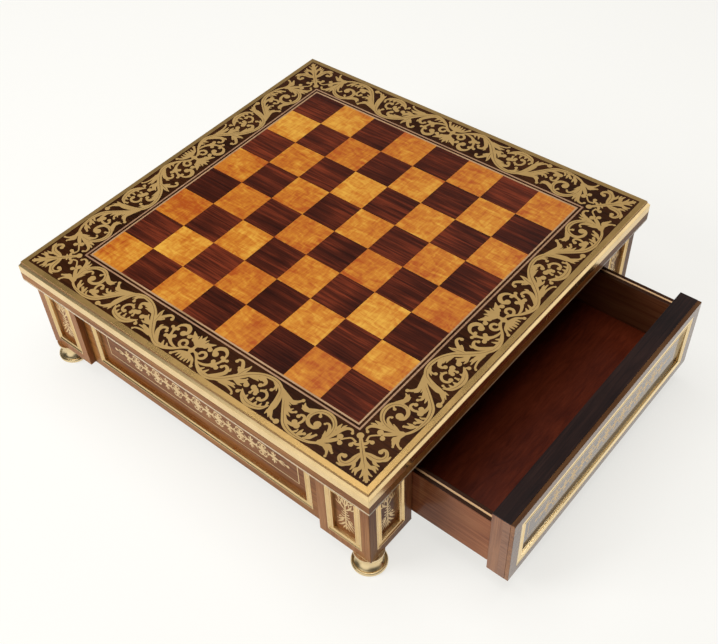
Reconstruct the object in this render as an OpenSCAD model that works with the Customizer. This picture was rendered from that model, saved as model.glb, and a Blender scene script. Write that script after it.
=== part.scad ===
// Chess box with drawers: a veneered chessboard with a fretwork border, on a shallow case that stands on
// four turned feet. A drawer slides out along X under each player's edge.
// Frame: the origin is the centre of the case on the surface that it stands on, and +Z is up. The front of
// the case is its -Y side.

/* [Board] */
// Width of one square of the playing field
square = 45; // [38:1:60]
// Width of each pale string round the playing field
string_w = 1.8; // [1:0.1:3]
// Width of the dark band between the two strings
band_w = 2.4; // [1:0.1:5]
// Width of the fretwork border
border_w = 42; // [34:1:60]
// Thickness of the veneers
veneer_t = 1.2; // [0.9:0.1:2]
// Joint between two squares
veneer_joint = 0.06; // [0.02:0.01:0.2]
// Thickness of the brass frets
fret_t = 0.6; // [0.3:0.1:0.8]

/* [Board edge] */
// Width of the flat part of the brass edging
edge_flat = 6; // [4:0.5:12]
// Reach of the rounded nose beyond the flat part
nose_reach = 2.5; // [1.5:0.5:5]
// Height of the rounded nose
nose_h = 9; // [6:0.5:10]
// Height of the brass edging
edge_h = 15; // [11:0.5:22]
// Thickness of the edging's flange and leg
edge_t = 2.2; // [1.8:0.1:3.5]
// Height of the wooden frieze under the edging
frieze_h = 9.5; // [6:0.5:16]
// Height of the pale string under the frieze
frieze_string_h = 2.5; // [1:0.5:4]
// Thickness of the frieze and of its string
frieze_t = 3; // [2:0.5:6]
// Gap at each mitre
mitre_gap = 0.1; // [0.05:0.05:0.3]

/* [Case] */
// Reach of the board beyond the posts
overhang = 7.5; // [4:0.5:20]
// Width of a corner post
post_w = 62; // [54:1:90]
// Height of the posts and the fixed panels
case_h = 96; // [80:1:150]
// Depth of the fixed panels and drawer fronts behind the posts' faces
panel_recess = 6.5; // [3:0.5:12]
// Thickness of a fixed panel
panel_t = 15; // [10:1:24]
// Thickness of the bottom board
bottom_t = 10; // [6:1:15]
// Thickness of the sub-top that carries the board
subtop_t = 18.5; // [12:0.5:25]
// Thickness of the divider between the two drawer bays
divider_t = 12; // [8:1:20]
// Thickness of the guide boards beside the bays
guide_t = 12; // [8:1:20]
// Height of the runners under the drawer sides
runner_h = 2.7; // [1.5:0.1:6]
// Thickness of the rail above each drawer front
rail_t = 5; // [3:0.5:8]

/* [Sunk panels] */
// Margin between a post's edge and its brass frames
post_margin = 10.5; // [6:0.5:14]
// Margin between a long panel's ends and its brass frame
panel_margin = 13.5; // [8:0.5:25]
// Margin above and below every brass frame
frame_rise = 10; // [6:0.5:16]
// Width of the brass frame moulding
frame_w = 7.2; // [5:0.2:9]
// Depth from the face down to the sunk marquetry
frame_d = 3.2; // [2:0.1:4]
// Width of the flat fillet on the frame's outer edge
frame_fillet = 1.4; // [0.8:0.1:2]
// Thickness of the ground behind the frets in the panels
ground_t = 0.6; // [0.4:0.1:1]

/* [Drawers] */
// How far the right drawer stands open
drawer_open = 114; // [0:1:140]
// Thickness of a drawer front's core
core_t = 18.7; // [12:0.1:24]
// Margin between a drawer front's ends and its brass frame
drawer_margin = 12.75; // [8:0.25:25]
// Margin above a drawer front's brass frame
drawer_top_margin = 11; // [6:0.5:16]
// Thickness of a drawer's sides
side_t = 10; // [7:0.5:14]
// Thickness of a drawer's back
back_t = 10; // [6:0.5:14]
// Thickness of a drawer's bottom
floor_t = 5; // [3:0.5:8]
// Height of a drawer's bottom above the lower edge of its sides
floor_lift = 5; // [3:0.5:10]
// Depth of the grooves that hold the bottom
groove_d = 4; // [2:0.5:6]
// Thickness of the black capping on a drawer front
cap_t = 0.8; // [0.5:0.1:2]
// Drop of a drawer's back below its sides
back_drop = 2; // [0:0.5:4]
// Space behind a closed drawer
back_gap = 5.5; // [2:0.5:20]

/* [Drawer clearances] */
// Gap at each side of a drawer
side_gap = 0.75; // [0.4:0.05:2]
// Gap above a drawer front
front_top_gap = 1; // [0.5:0.1:2]
// Gap between a drawer front and the level of the case's lower edge
front_bottom_gap = 0.5; // [0.3:0.1:2]
// Gap between a closed drawer front and the boards behind it
front_seat_gap = 0.5; // [0.3:0.1:2]
// Gap between a drawer's sides and the sub-top
side_top_gap = 0.8; // [0.4:0.1:2]
// Gap between a drawer's sides and the runners
runner_gap = 0.3; // [0.2:0.1:1]

/* [Feet and fixings] */
// Height of a foot
foot_h = 23; // [16:1:40]
// Largest radius of a foot
foot_r = 18; // [14:0.5:20]
// Distance of a foot's axis from the two outer faces of its post
foot_inset = 12; // [10:1:24]
// Radius of a foot's rim on the ground and of its flange under the post
foot_rim_r = 15.3; // [11:0.1:17]
// Height of the rim
foot_rim_h = 2; // [1:0.5:4]
// Radius of a foot's neck
foot_neck_r = 12.5; // [9:0.5:14]
// Height of the neck
foot_neck_h = 2; // [1:0.5:4]
// Thickness of the flange
foot_flange_t = 2.5; // [1.5:0.5:4]
// Radius of the studs that hold the feet
stud_r = 4; // [3:0.5:5]
// Length of a stud inside the post
stud_grip = 22; // [12:1:40]
// Length of a stud inside its foot
stud_seat = 14; // [8:1:15]
// Radius of the screws that hold the board
screw_r = 2; // [1.5:0.25:3]
// Radius of the screws' heads
screw_head_r = 4; // [3.5:0.25:6]
// Length of a screw inside the board
screw_grip = 14; // [8:1:18]
// Clearance round a stud or a screw
fixing_gap = 0.05; // [0.02:0.01:0.1]
// Reach of a drawer's stop block below the sub-top
stop_drop = 7; // [5:0.5:10]
// Length of a stop block along the drawer's travel
stop_len = 12; // [8:1:20]
// Width of a stop block
stop_w = 40; // [20:1:80]
// Travel at which a drawer meets its stop block
stop_travel = 148; // [142:1:155]

/* [Hidden] */
$fn = 64;

CELLS = 8;
CORNERS = 4;
overcut = 1;

// Board, outwards from the playing field
field_w = CELLS * square;
inner_string_ow = field_w + 2 * string_w;
band_ow = inner_string_ow + 2 * band_w;
outer_string_ow = band_ow + 2 * string_w;
border_ow = outer_string_ow + 2 * border_w;
board_w = border_ow + 2 * edge_flat + 2 * nose_reach;
board_t = edge_h + frieze_h + frieze_string_h;
board_z = foot_h + case_h;
top_z = board_z + board_t;
// Radius of the nose's arc, from its height and reach
nose_r = (nose_h * nose_h + nose_reach * nose_reach) / (2 * nose_reach);

// Case
case_w = board_w - 2 * overhang;
bay_w = case_w - 2 * post_w;
post_c = case_w / 2 - post_w / 2;
face_in = case_w / 2 - panel_recess;
pocket_d = frame_d + ground_t + fret_t;
facing_t = pocket_d;
front_t = core_t + facing_t;
board_x = face_in - front_t - front_seat_gap;
board_y = face_in - panel_t;
floor_z = foot_h + bottom_t;
subtop_z = board_z - subtop_t;

// Drawers, closed, on the right of the case
front_w = bay_w - 2 * side_gap;
front_z = foot_h + front_bottom_gap;
front_h = case_h - rail_t - front_top_gap - front_bottom_gap;
front_x = face_in - front_t;
box_x = divider_t / 2 + back_gap;
box_l = front_x - box_x;
side_z = floor_z + runner_h + runner_gap;
side_h = subtop_z - side_top_gap - side_z;
inner_w = front_w - 2 * side_t;
bottom_z = side_z + floor_lift;
groove_gap = 0.1;
string_d = 1;
string_gap = 0.05;

// Frames
post_frame_w = post_w - 2 * post_margin;
case_frame_h = case_h - 2 * frame_rise;
panel_frame_w = bay_w - 2 * panel_margin;
drawer_frame_w = front_w - 2 * drawer_margin;
drawer_frame_h = front_h - frame_rise - drawer_top_margin;
case_frame_z = foot_h + case_h / 2;
drawer_frame_z = front_z + frame_rise + drawer_frame_h / 2;
frame_lip = 0.8;
fillet_step = 0.5;
COVE_STEPS = 5;

// Fixings
stud_end_gap = 0.3;
screw_head_h = screw_head_r - screw_r;
SCREW_ROWS = [-1, 0, 1];
screw_pitch = bay_w / 3;

WOOD = "#4a2318";
DARK_WOOD = "#33160f";
LIGHT_WOOD = "#c9772b";
PALE_WOOD = "#c79a6c";
EBONY = "#1b1210";
BRASS = "#c6a24c";
DEAL = "#9a6a45";
STEEL = "#8a8a8a";

// ---- Shapes that repeat ----

// One of the four sides of the case: 0 is the front, and the rest follow anticlockwise seen from above.
// The child's -Y looks out of the case.
module on_side(side) {
    rotate([0, 0, 90 * side]) children();
}

// A flat square ring that lies on z = 0
module square_ring(outer, inner, t) {
    difference() {
        translate([-outer / 2, -outer / 2, 0]) cube([outer, outer, t]);
        translate([-inner / 2, -inner / 2, -overcut]) cube([inner, inner, t + 2 * overcut]);
    }
}

// A profile of [outward, up] run along the front side, cut to 45 degrees at both ends
module mitred_side(profile, reach) {
    g = mitre_gap / sqrt(2);
    intersection() {
        rotate([90, 0, -90]) linear_extrude(2 * reach, center = true) polygon(profile);
        linear_extrude(top_z + overcut)
            polygon([[0, -g], [reach, -reach - g], [-reach, -reach - g]]);
    }
}

// The same profile on all four sides
module mitred_ring(profile, reach) {
    for (side = [0:CORNERS - 1]) on_side(side) mitred_side(profile, reach);
}

// One length of brass frame moulding, with its outer edge on z = 0 and its face on y = 0
module frame_bar(l) {
    cove_w = frame_w - frame_fillet - frame_lip;
    cove_d = frame_d - fillet_step;
    cove = [for (i = [0:COVE_STEPS]) let (a = 90 * i / COVE_STEPS)
        [fillet_step + cove_d * sin(a), frame_fillet + cove_w * (1 - cos(a))]];
    profile = concat([[pocket_d, 0], [0, 0], [0, frame_fillet]], cove,
        [[frame_d, frame_w], [pocket_d, frame_w]]);
    h = l / 2 - mitre_gap / 2;
    intersection() {
        rotate([90, 0, 90]) linear_extrude(l, center = true) polygon(profile);
        translate([0, pocket_d + overcut, 0]) rotate([90, 0, 0]) linear_extrude(pocket_d + 2 * overcut)
            polygon([[-h, 0], [h, 0], [h - frame_w, frame_w], [-h + frame_w, frame_w]]);
    }
}

// Four mitred lengths round a sunk panel, centred on the origin
module sunk_frame(w, h) {
    for (turn = [0, 180]) rotate([0, turn, 0]) translate([0, 0, -h / 2]) frame_bar(w);
    for (turn = [90, 270]) rotate([0, turn, 0]) translate([0, 0, -w / 2]) frame_bar(h);
}

// The sheet that carries the fret, inside the frame
module sunk_ground(w, h) {
    iw = w - 2 * frame_w;
    ih = h - 2 * frame_w;
    translate([-iw / 2, frame_d + fret_t, -ih / 2]) cube([iw, ground_t, ih]);
}

// The pocket that a frame and its ground lie in
module sunk_pocket(w, h, d = pocket_d) {
    translate([-w / 2, -overcut, -h / 2]) cube([w, d + overcut, h]);
}

// A scroll: a band of width w that winds in from radius r round the origin, and tapers
VOLUTE_STEPS = 18;
VOLUTE_TURN = 420;
VOLUTE_CLOSE = 0.8;
VOLUTE_TAPER = 0.4;
function volute_edge(r, w, side) = [for (i = [0:VOLUTE_STEPS]) let (t = i / VOLUTE_STEPS,
    a = VOLUTE_TURN * t, middle = r * (1 - VOLUTE_CLOSE * t), half = w * (1 - VOLUTE_TAPER * t) / 2)
    (middle + side * half) * [cos(a), sin(a)]];
function reversed(list) = [for (i = [len(list) - 1:-1:0]) list[i]];
module volute(r, w) {
    polygon(concat(volute_edge(r - w / 2, w, 1), reversed(volute_edge(r - w / 2, w, -1))));
}

// A pointed leaf of length l and width w, from the origin along +X
LEAF_STEPS = 6;
module leaf(l, w) {
    edge = [for (i = [0:LEAF_STEPS]) let (t = i / LEAF_STEPS) [l * t, w / 2 * sin(180 * t)]];
    back = [for (i = [LEAF_STEPS - 1:-1:1]) [edge[i][0], -edge[i][1]]];
    polygon(concat(edge, back));
}

// Scrolls along X that turn up and down by turns, with a leaf and a berry in each hollow between them
RUN_PITCH = 2.3;
LEAF_SHARE = 0.7;
BERRY_SHARE = 0.13;
module scroll_run(l, h) {
    r = h / 2;
    n = max(1, floor(l / (RUN_PITCH * r)));
    pitch = l / n;
    for (i = [0:n - 1]) translate([(i - (n - 1) / 2) * pitch, 0]) {
        up = i % 2 == 0 ? 1 : -1;
        rotate(up == 1 ? 0 : 180) volute(r, r / 4);
        if (i < n - 1) translate([pitch / 2, up * r / 2]) rotate(up * 90) leaf(r * LEAF_SHARE, r / 3);
        if (i < n - 1) translate([pitch / 2, -up * r * LEAF_SHARE]) circle(r * BERRY_SHARE);
    }
}

// The fret on a sunk panel: along the panel's longer side, and share of its ground's shorter side high
FRET_LONG = 0.84;
PANEL_FRET = 0.4;
POST_FRET = 0.8;
module sunk_fret(w, h, share) {
    iw = w - 2 * frame_w;
    ih = h - 2 * frame_w;
    translate([0, frame_d + fret_t, 0]) rotate([90, 0, 0]) linear_extrude(fret_t)
        rotate(iw > ih ? 0 : 90) scroll_run(max(iw, ih) * FRET_LONG, min(iw, ih) * share);
}

// ---- Board ----

// Screw positions under the board: a row of three over each drawer bay
module at_screws() {
    for (bay = [-1, 1], row = SCREW_ROWS) translate([bay * screw_pitch, row * screw_pitch, 0]) children();
}

// A countersunk screw that points up, with its head's face on z = 0, and all round it a gap
module screw_shape(l, gap, below) {
    rotate_extrude() polygon([[0, -below], [screw_head_r + gap, -below], [screw_head_r + gap, 0],
        [screw_r + gap, screw_head_h], [screw_r + gap, l], [0, l]]);
}

module top_core() {
    color(DEAL) difference() {
        union() {
            low_w = board_w - 2 * frieze_t;
            mid_w = board_w - 2 * edge_t;
            translate([-low_w / 2, -low_w / 2, board_z]) cube([low_w, low_w, board_t - edge_h]);
            translate([-mid_w / 2, -mid_w / 2, top_z - edge_h]) cube([mid_w, mid_w, edge_h - edge_t]);
            translate([-border_ow / 2, -border_ow / 2, top_z - edge_t])
                cube([border_ow, border_ow, edge_t - veneer_t]);
        }
        at_screws() translate([0, 0, board_z - overcut])
            cylinder(r = screw_r + fixing_gap, h = screw_grip + stud_end_gap + overcut);
    }
}

// The squares of one colour. The front left one is light, so each player has a light square at the right.
module squares(dark) {
    s = square - veneer_joint;
    for (i = [0:CELLS - 1], j = [0:CELLS - 1]) if ((i + j) % 2 == dark)
        translate([(i - CELLS / 2) * square + veneer_joint / 2, (j - CELLS / 2) * square + veneer_joint / 2,
            top_z - veneer_t]) cube([s, s, veneer_t]);
}

module light_squares() {
    color(LIGHT_WOOD) squares(0);
}

module dark_squares() {
    color(DARK_WOOD) squares(1);
}

module inner_string() {
    color(PALE_WOOD) translate([0, 0, top_z - veneer_t]) square_ring(inner_string_ow, field_w, veneer_t);
}

module string_band() {
    color(EBONY) translate([0, 0, top_z - veneer_t]) square_ring(band_ow, inner_string_ow, veneer_t);
}

module outer_string() {
    color(PALE_WOOD) translate([0, 0, top_z - veneer_t]) square_ring(outer_string_ow, band_ow, veneer_t);
}

module border_ground() {
    color(EBONY) translate([0, 0, top_z - veneer_t])
        square_ring(border_ow, outer_string_ow, veneer_t - fret_t);
}

// Along each side of the border a run of scrolls, and at each corner a fan of leaves with a bud
BORDER_FRET = 0.66;
FAN = [-2:2];
FAN_ANGLE = 34;
module border_fret() {
    row = outer_string_ow / 2 + border_w / 2;
    r = border_w * BORDER_FRET / 2;
    color(BRASS) translate([0, 0, top_z - fret_t]) linear_extrude(fret_t)
        for (side = [0:CORNERS - 1]) rotate(90 * side) {
            translate([0, -row]) scroll_run(outer_string_ow - 2 * r, 2 * r);
            translate([row, -row]) {
                circle(r / 4);
                for (i = FAN) rotate(FAN_ANGLE * i - 45) translate([r / 3, 0]) leaf(r * LEAF_SHARE, r / 3);
            }
        }
}

// An angle section: a flange on the board, a leg down its edge, and a rounded nose
NOSE_STEPS = 6;
module edge_moulding() {
    half = board_w / 2;
    turn = asin(nose_h / nose_r);
    nose = [for (i = [0:NOSE_STEPS]) let (a = turn * i / NOSE_STEPS)
        [half - nose_r + nose_r * cos(a), top_z - nose_h + nose_r * sin(a)]];
    profile = concat([[half - edge_t, top_z - edge_h], [half, top_z - edge_h]], nose,
        [[border_ow / 2, top_z], [border_ow / 2, top_z - edge_t], [half - edge_t, top_z - edge_t]]);
    color(BRASS) mitred_ring(profile, half);
}

function board_skirt(z, h) = [[board_w / 2 - frieze_t, z], [board_w / 2, z], [board_w / 2, z + h],
    [board_w / 2 - frieze_t, z + h]];

module frieze_band() {
    color(WOOD) mitred_ring(board_skirt(board_z + frieze_string_h, frieze_h), board_w / 2);
}

module frieze_string() {
    color(PALE_WOOD) mitred_ring(board_skirt(board_z, frieze_string_h), board_w / 2);
}

// ---- Case ----

// A board that reaches the back of the drawer fronts and the fixed panels, notched round the posts
module case_board(z, t) {
    difference() {
        translate([-board_x, -board_y, z]) cube([2 * board_x, 2 * board_y, t]);
        for (side = [0:CORNERS - 1]) on_side(side)
            translate([bay_w / 2, -case_w / 2, z - overcut]) cube([post_w, post_w, t + 2 * overcut]);
    }
}

module sub_top() {
    color(DEAL) difference() {
        case_board(subtop_z, subtop_t);
        at_screws() translate([0, 0, subtop_z]) screw_shape(subtop_t + overcut, fixing_gap, overcut);
    }
}

module bottom_board() {
    color(DEAL) case_board(foot_h, bottom_t);
}

module centre_divider() {
    color(DEAL) translate([-divider_t / 2, -bay_w / 2, floor_z])
        cube([divider_t, bay_w, subtop_z - floor_z]);
}

module drawer_guides() {
    color(DEAL) for (side = [0, 2]) on_side(side)
        translate([-bay_w / 2, -bay_w / 2 - guide_t, floor_z]) cube([bay_w, guide_t, subtop_z - floor_z]);
}

module drawer_runners() {
    runner_w = side_t - 1;
    color(PALE_WOOD) for (side = [0, 2], bay = [0, 1]) on_side(side)
        translate([bay == 0 ? divider_t / 2 : -board_x, -front_w / 2 + (side_t - runner_w) / 2, floor_z])
            cube([board_x - divider_t / 2, runner_w, runner_h]);
}

// A drawer's back meets its block when the drawer has come out by stop_travel
module drawer_stops() {
    color(PALE_WOOD) for (side = [1, 3]) on_side(side)
        translate([-stop_w / 2, -box_x - back_t - stop_travel - stop_len, subtop_z - stop_drop])
            cube([stop_w, stop_len, stop_drop]);
}

module fixed_panel() {
    color(WOOD) difference() {
        translate([-bay_w / 2, -face_in, foot_h]) cube([bay_w, panel_t, case_h]);
        at_fixed_panel() sunk_pocket(panel_frame_w, case_frame_h);
    }
}

module at_fixed_panel() {
    translate([0, -face_in, case_frame_z]) children();
}

module front_panel() {
    fixed_panel();
}

module front_panel_frame() {
    color(BRASS) at_fixed_panel() sunk_frame(panel_frame_w, case_frame_h);
}

module front_panel_ground() {
    color(EBONY) at_fixed_panel() sunk_ground(panel_frame_w, case_frame_h);
}

module front_panel_fret() {
    color(BRASS) at_fixed_panel() sunk_fret(panel_frame_w, case_frame_h, PANEL_FRET);
}

module back_panel() {
    on_side(2) fixed_panel();
}

module back_panel_frame() {
    on_side(2) front_panel_frame();
}

module back_panel_ground() {
    on_side(2) front_panel_ground();
}

module back_panel_fret() {
    on_side(2) front_panel_fret();
}

module top_rail() {
    color(WOOD) translate([board_x, -bay_w / 2, board_z - rail_t])
        cube([face_in - board_x, bay_w, rail_t]);
}

module right_top_rail() {
    top_rail();
}

module left_top_rail() {
    on_side(2) top_rail();
}

// ---- Posts ----

// The two outer faces of the post at the front right corner
module at_post_faces() {
    translate([post_c, -case_w / 2, case_frame_z]) children();
    on_side(1) translate([-post_c, -case_w / 2, case_frame_z]) children();
}

module at_foot_axis() {
    translate([case_w / 2 - foot_inset, -case_w / 2 + foot_inset, 0]) children();
}

module post() {
    color(WOOD) difference() {
        translate([bay_w / 2, -case_w / 2, foot_h]) cube([post_w, post_w, case_h]);
        at_post_faces() sunk_pocket(post_frame_w, case_frame_h);
        at_foot_axis() translate([0, 0, foot_h - overcut])
            cylinder(r = stud_r + fixing_gap, h = stud_grip + stud_end_gap + overcut);
    }
}

module front_right_post() {
    post();
}

module back_right_post() {
    on_side(1) post();
}

module back_left_post() {
    on_side(2) post();
}

module front_left_post() {
    on_side(3) post();
}

module post_frames() {
    color(BRASS) for (corner = [0:CORNERS - 1]) on_side(corner) at_post_faces()
        sunk_frame(post_frame_w, case_frame_h);
}

module post_grounds() {
    color(EBONY) for (corner = [0:CORNERS - 1]) on_side(corner) at_post_faces()
        sunk_ground(post_frame_w, case_frame_h);
}

module post_frets() {
    color(BRASS) for (corner = [0:CORNERS - 1]) on_side(corner) at_post_faces()
        sunk_fret(post_frame_w, case_frame_h, POST_FRET);
}

// ---- Feet ----

// Turned: a rim on the ground, a bun, a neck and a flange under the post
BUN_STEPS = 12;
BUN_TURN = 80;
module foot() {
    bun_h = foot_h - foot_rim_h - foot_neck_h - foot_flange_t;
    bun_r = bun_h / 2 / sin(BUN_TURN);
    bun = [for (i = [0:BUN_STEPS]) let (a = BUN_TURN * (2 * i / BUN_STEPS - 1))
        [foot_r - bun_r + bun_r * cos(a), foot_rim_h + bun_h / 2 + bun_r * sin(a)]];
    neck_z = foot_rim_h + bun_h;
    profile = concat([[0, 0], [foot_rim_r, 0], [foot_rim_r, foot_rim_h]], bun,
        [[foot_neck_r, neck_z], [foot_neck_r, neck_z + foot_neck_h], [foot_rim_r, neck_z + foot_neck_h],
        [foot_rim_r, foot_h], [0, foot_h]]);
    color(BRASS) at_foot_axis() difference() {
        rotate_extrude() polygon(profile);
        translate([0, 0, foot_h - stud_seat - stud_end_gap])
            cylinder(r = stud_r + fixing_gap, h = stud_seat + stud_end_gap + overcut);
    }
}

module front_right_foot() {
    foot();
}

module back_right_foot() {
    on_side(1) foot();
}

module back_left_foot() {
    on_side(2) foot();
}

module front_left_foot() {
    on_side(3) foot();
}

module foot_studs() {
    color(STEEL) for (corner = [0:CORNERS - 1]) on_side(corner) at_foot_axis()
        translate([0, 0, foot_h - stud_seat]) cylinder(r = stud_r, h = stud_seat + stud_grip);
}

module board_screws() {
    color(STEEL) at_screws() translate([0, 0, subtop_z]) screw_shape(subtop_t + screw_grip, 0, 0);
}

// ---- Drawers, closed, on the right of the case ----

module drawer_core() {
    color(WOOD) difference() {
        translate([front_x, -front_w / 2, front_z]) cube([core_t, front_w, front_h - cap_t]);
        translate([front_x - overcut, -inner_w / 2 - groove_d, bottom_z])
            cube([groove_d + overcut, inner_w + 2 * groove_d, floor_t + groove_gap]);
    }
}

module at_drawer_face() {
    on_side(1) translate([0, -face_in, drawer_frame_z]) children();
}

module drawer_facing() {
    color(WOOD) difference() {
        translate([front_x + core_t, -front_w / 2, front_z]) cube([facing_t, front_w, front_h]);
        at_drawer_face() sunk_pocket(drawer_frame_w, drawer_frame_h, facing_t + overcut);
    }
}

module drawer_capping() {
    color(EBONY) translate([front_x, -front_w / 2, front_z + front_h - cap_t])
        cube([core_t, front_w, cap_t]);
}

module drawer_frame() {
    color(BRASS) at_drawer_face() sunk_frame(drawer_frame_w, drawer_frame_h);
}

module drawer_ground() {
    color(EBONY) at_drawer_face() sunk_ground(drawer_frame_w, drawer_frame_h);
}

module drawer_fret() {
    color(BRASS) at_drawer_face() sunk_fret(drawer_frame_w, drawer_frame_h, PANEL_FRET);
}

// Both sides, grooved inside for the bottom and on top for the string
module drawer_sides() {
    string_slot = string_w + 2 * string_gap;
    color(WOOD) for (end = [-1, 1]) translate([0, end * (front_w - side_t) / 2, 0]) difference() {
        translate([box_x, -side_t / 2, side_z]) cube([box_l, side_t, side_h]);
        translate([box_x - overcut, end == 1 ? -side_t / 2 - overcut : side_t / 2 - groove_d, bottom_z])
            cube([box_l + 2 * overcut, groove_d + overcut, floor_t + groove_gap]);
        translate([box_x - overcut, -string_slot / 2, side_z + side_h - string_d])
            cube([box_l + 2 * overcut, string_slot, string_d + overcut]);
    }
}

module drawer_strings() {
    color(PALE_WOOD) for (end = [-1, 1])
        translate([box_x, end * (front_w - side_t) / 2 - string_w / 2, side_z + side_h - string_d])
            cube([box_l, string_w, string_d]);
}

module drawer_back() {
    z = bottom_z + floor_t;
    color(WOOD) translate([box_x, -inner_w / 2, z]) cube([back_t, inner_w, side_z + side_h - back_drop - z]);
}

module drawer_bottom() {
    w = inner_w + 2 * groove_d - 2 * groove_gap;
    color(DARK_WOOD) translate([box_x, -w / 2, bottom_z])
        cube([box_l + groove_d - groove_gap, w, floor_t]);
}

// The right drawer stands open, and the left one is closed
module right_drawer() {
    translate([drawer_open, 0, 0]) children();
}

module left_drawer() {
    on_side(2) children();
}

top_core();
light_squares();
dark_squares();
inner_string();
string_band();
outer_string();
border_ground();
border_fret();
edge_moulding();
frieze_band();
frieze_string();
sub_top();
bottom_board();
centre_divider();
drawer_guides();
drawer_runners();
drawer_stops();
front_panel();
front_panel_frame();
front_panel_ground();
front_panel_fret();
back_panel();
back_panel_frame();
back_panel_ground();
back_panel_fret();
right_top_rail();
left_top_rail();
front_right_post();
back_right_post();
back_left_post();
front_left_post();
post_frames();
post_grounds();
post_frets();
front_right_foot();
back_right_foot();
back_left_foot();
front_left_foot();
foot_studs();
board_screws();
right_drawer() drawer_core();  // right_drawer_core
right_drawer() drawer_facing();  // right_drawer_facing
right_drawer() drawer_capping();  // right_drawer_capping
right_drawer() drawer_frame();  // right_drawer_frame
right_drawer() drawer_ground();  // right_drawer_ground
right_drawer() drawer_fret();  // right_drawer_fret
right_drawer() drawer_sides();  // right_drawer_sides
right_drawer() drawer_strings();  // right_drawer_strings
right_drawer() drawer_back();  // right_drawer_back
right_drawer() drawer_bottom();  // right_drawer_bottom
left_drawer() drawer_core();  // left_drawer_core
left_drawer() drawer_facing();  // left_drawer_facing
left_drawer() drawer_capping();  // left_drawer_capping
left_drawer() drawer_frame();  // left_drawer_frame
left_drawer() drawer_ground();  // left_drawer_ground
left_drawer() drawer_fret();  // left_drawer_fret
left_drawer() drawer_sides();  // left_drawer_sides
left_drawer() drawer_strings();  // left_drawer_strings
left_drawer() drawer_back();  // left_drawer_back
left_drawer() drawer_bottom();  // left_drawer_bottom
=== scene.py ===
"""Chess box with drawers: the finishes and fine shapes on the made part.

A board of 64 veneer squares with a brass and ebony border stands on a shallow rosewood case. The case has
sunk marquetry panels in brass frames, turned brass feet, and a drawer under each player's edge. Lengths are
in metres, and ornament is drawn in millimetres.
"""

import logging
import math
from dataclasses import dataclass, field, replace
from enum import Enum, IntEnum
from typing import Callable, Iterable, Sequence, Union

import bmesh
import bpy
import numpy as np
from mathutils import Matrix, Vector
from mathutils.geometry import delaunay_2d_cdt


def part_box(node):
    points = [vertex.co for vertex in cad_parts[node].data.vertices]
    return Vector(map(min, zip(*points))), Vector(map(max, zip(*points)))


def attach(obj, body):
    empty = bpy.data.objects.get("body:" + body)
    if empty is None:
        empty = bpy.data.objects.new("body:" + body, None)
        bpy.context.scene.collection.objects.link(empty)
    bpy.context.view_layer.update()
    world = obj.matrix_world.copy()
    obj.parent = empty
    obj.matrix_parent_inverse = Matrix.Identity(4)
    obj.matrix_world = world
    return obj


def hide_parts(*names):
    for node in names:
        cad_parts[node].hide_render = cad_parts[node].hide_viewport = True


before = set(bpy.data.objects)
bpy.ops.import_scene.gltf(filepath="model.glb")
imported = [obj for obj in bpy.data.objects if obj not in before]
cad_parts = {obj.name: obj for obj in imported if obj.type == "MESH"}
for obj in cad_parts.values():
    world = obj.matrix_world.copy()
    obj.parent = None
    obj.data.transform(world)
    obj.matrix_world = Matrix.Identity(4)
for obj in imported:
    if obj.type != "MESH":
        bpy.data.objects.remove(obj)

LOG = logging.getLogger("chess_box")
MM = 0.001
CORNERS = ("front_right", "back_right", "back_left", "front_left")

Colour = tuple[float, float, float]
Point = tuple[float, float]
Socket = bpy.types.NodeSocket
Value = Union[Socket, float, Sequence[float]]


# ---- Sizes taken from the made part ----


class Axis(IntEnum):
    """The three axes of the frame."""

    X = 0
    Y = 1
    Z = 2


def low(node: str) -> np.ndarray:
    """Returns a node's lowest corner at rest."""
    return np.array(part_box(node)[0])


def high(node: str) -> np.ndarray:
    """Returns a node's highest corner at rest."""
    return np.array(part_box(node)[1])


def from_part(corner: Callable[[str], np.ndarray], node: str, axis: Axis) -> float:
    """Makes a dataclass field that is read from the made part when its object is made.

    Args:
        corner: Either low or high.
        node: The node whose corner is read.
        axis: The axis that is read.

    Returns:
        The field.
    """
    return field(default_factory=lambda: float(corner(node)[axis]))


class Side(Enum):
    """The four sides of the case, by quarter turns from the front, anticlockwise from above."""

    FRONT = 0
    RIGHT = 1
    BACK = 2
    LEFT = 3

    def turn(self) -> np.ndarray:
        """Returns the 3 by 3 matrix that turns the front onto this side."""
        c, s = (1, 0, -1, 0)[self.value], (0, 1, 0, -1)[self.value]
        return np.array([[c, -s, 0], [s, c, 0], [0, 0, 1]], float)


# ---- Materials ----


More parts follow.
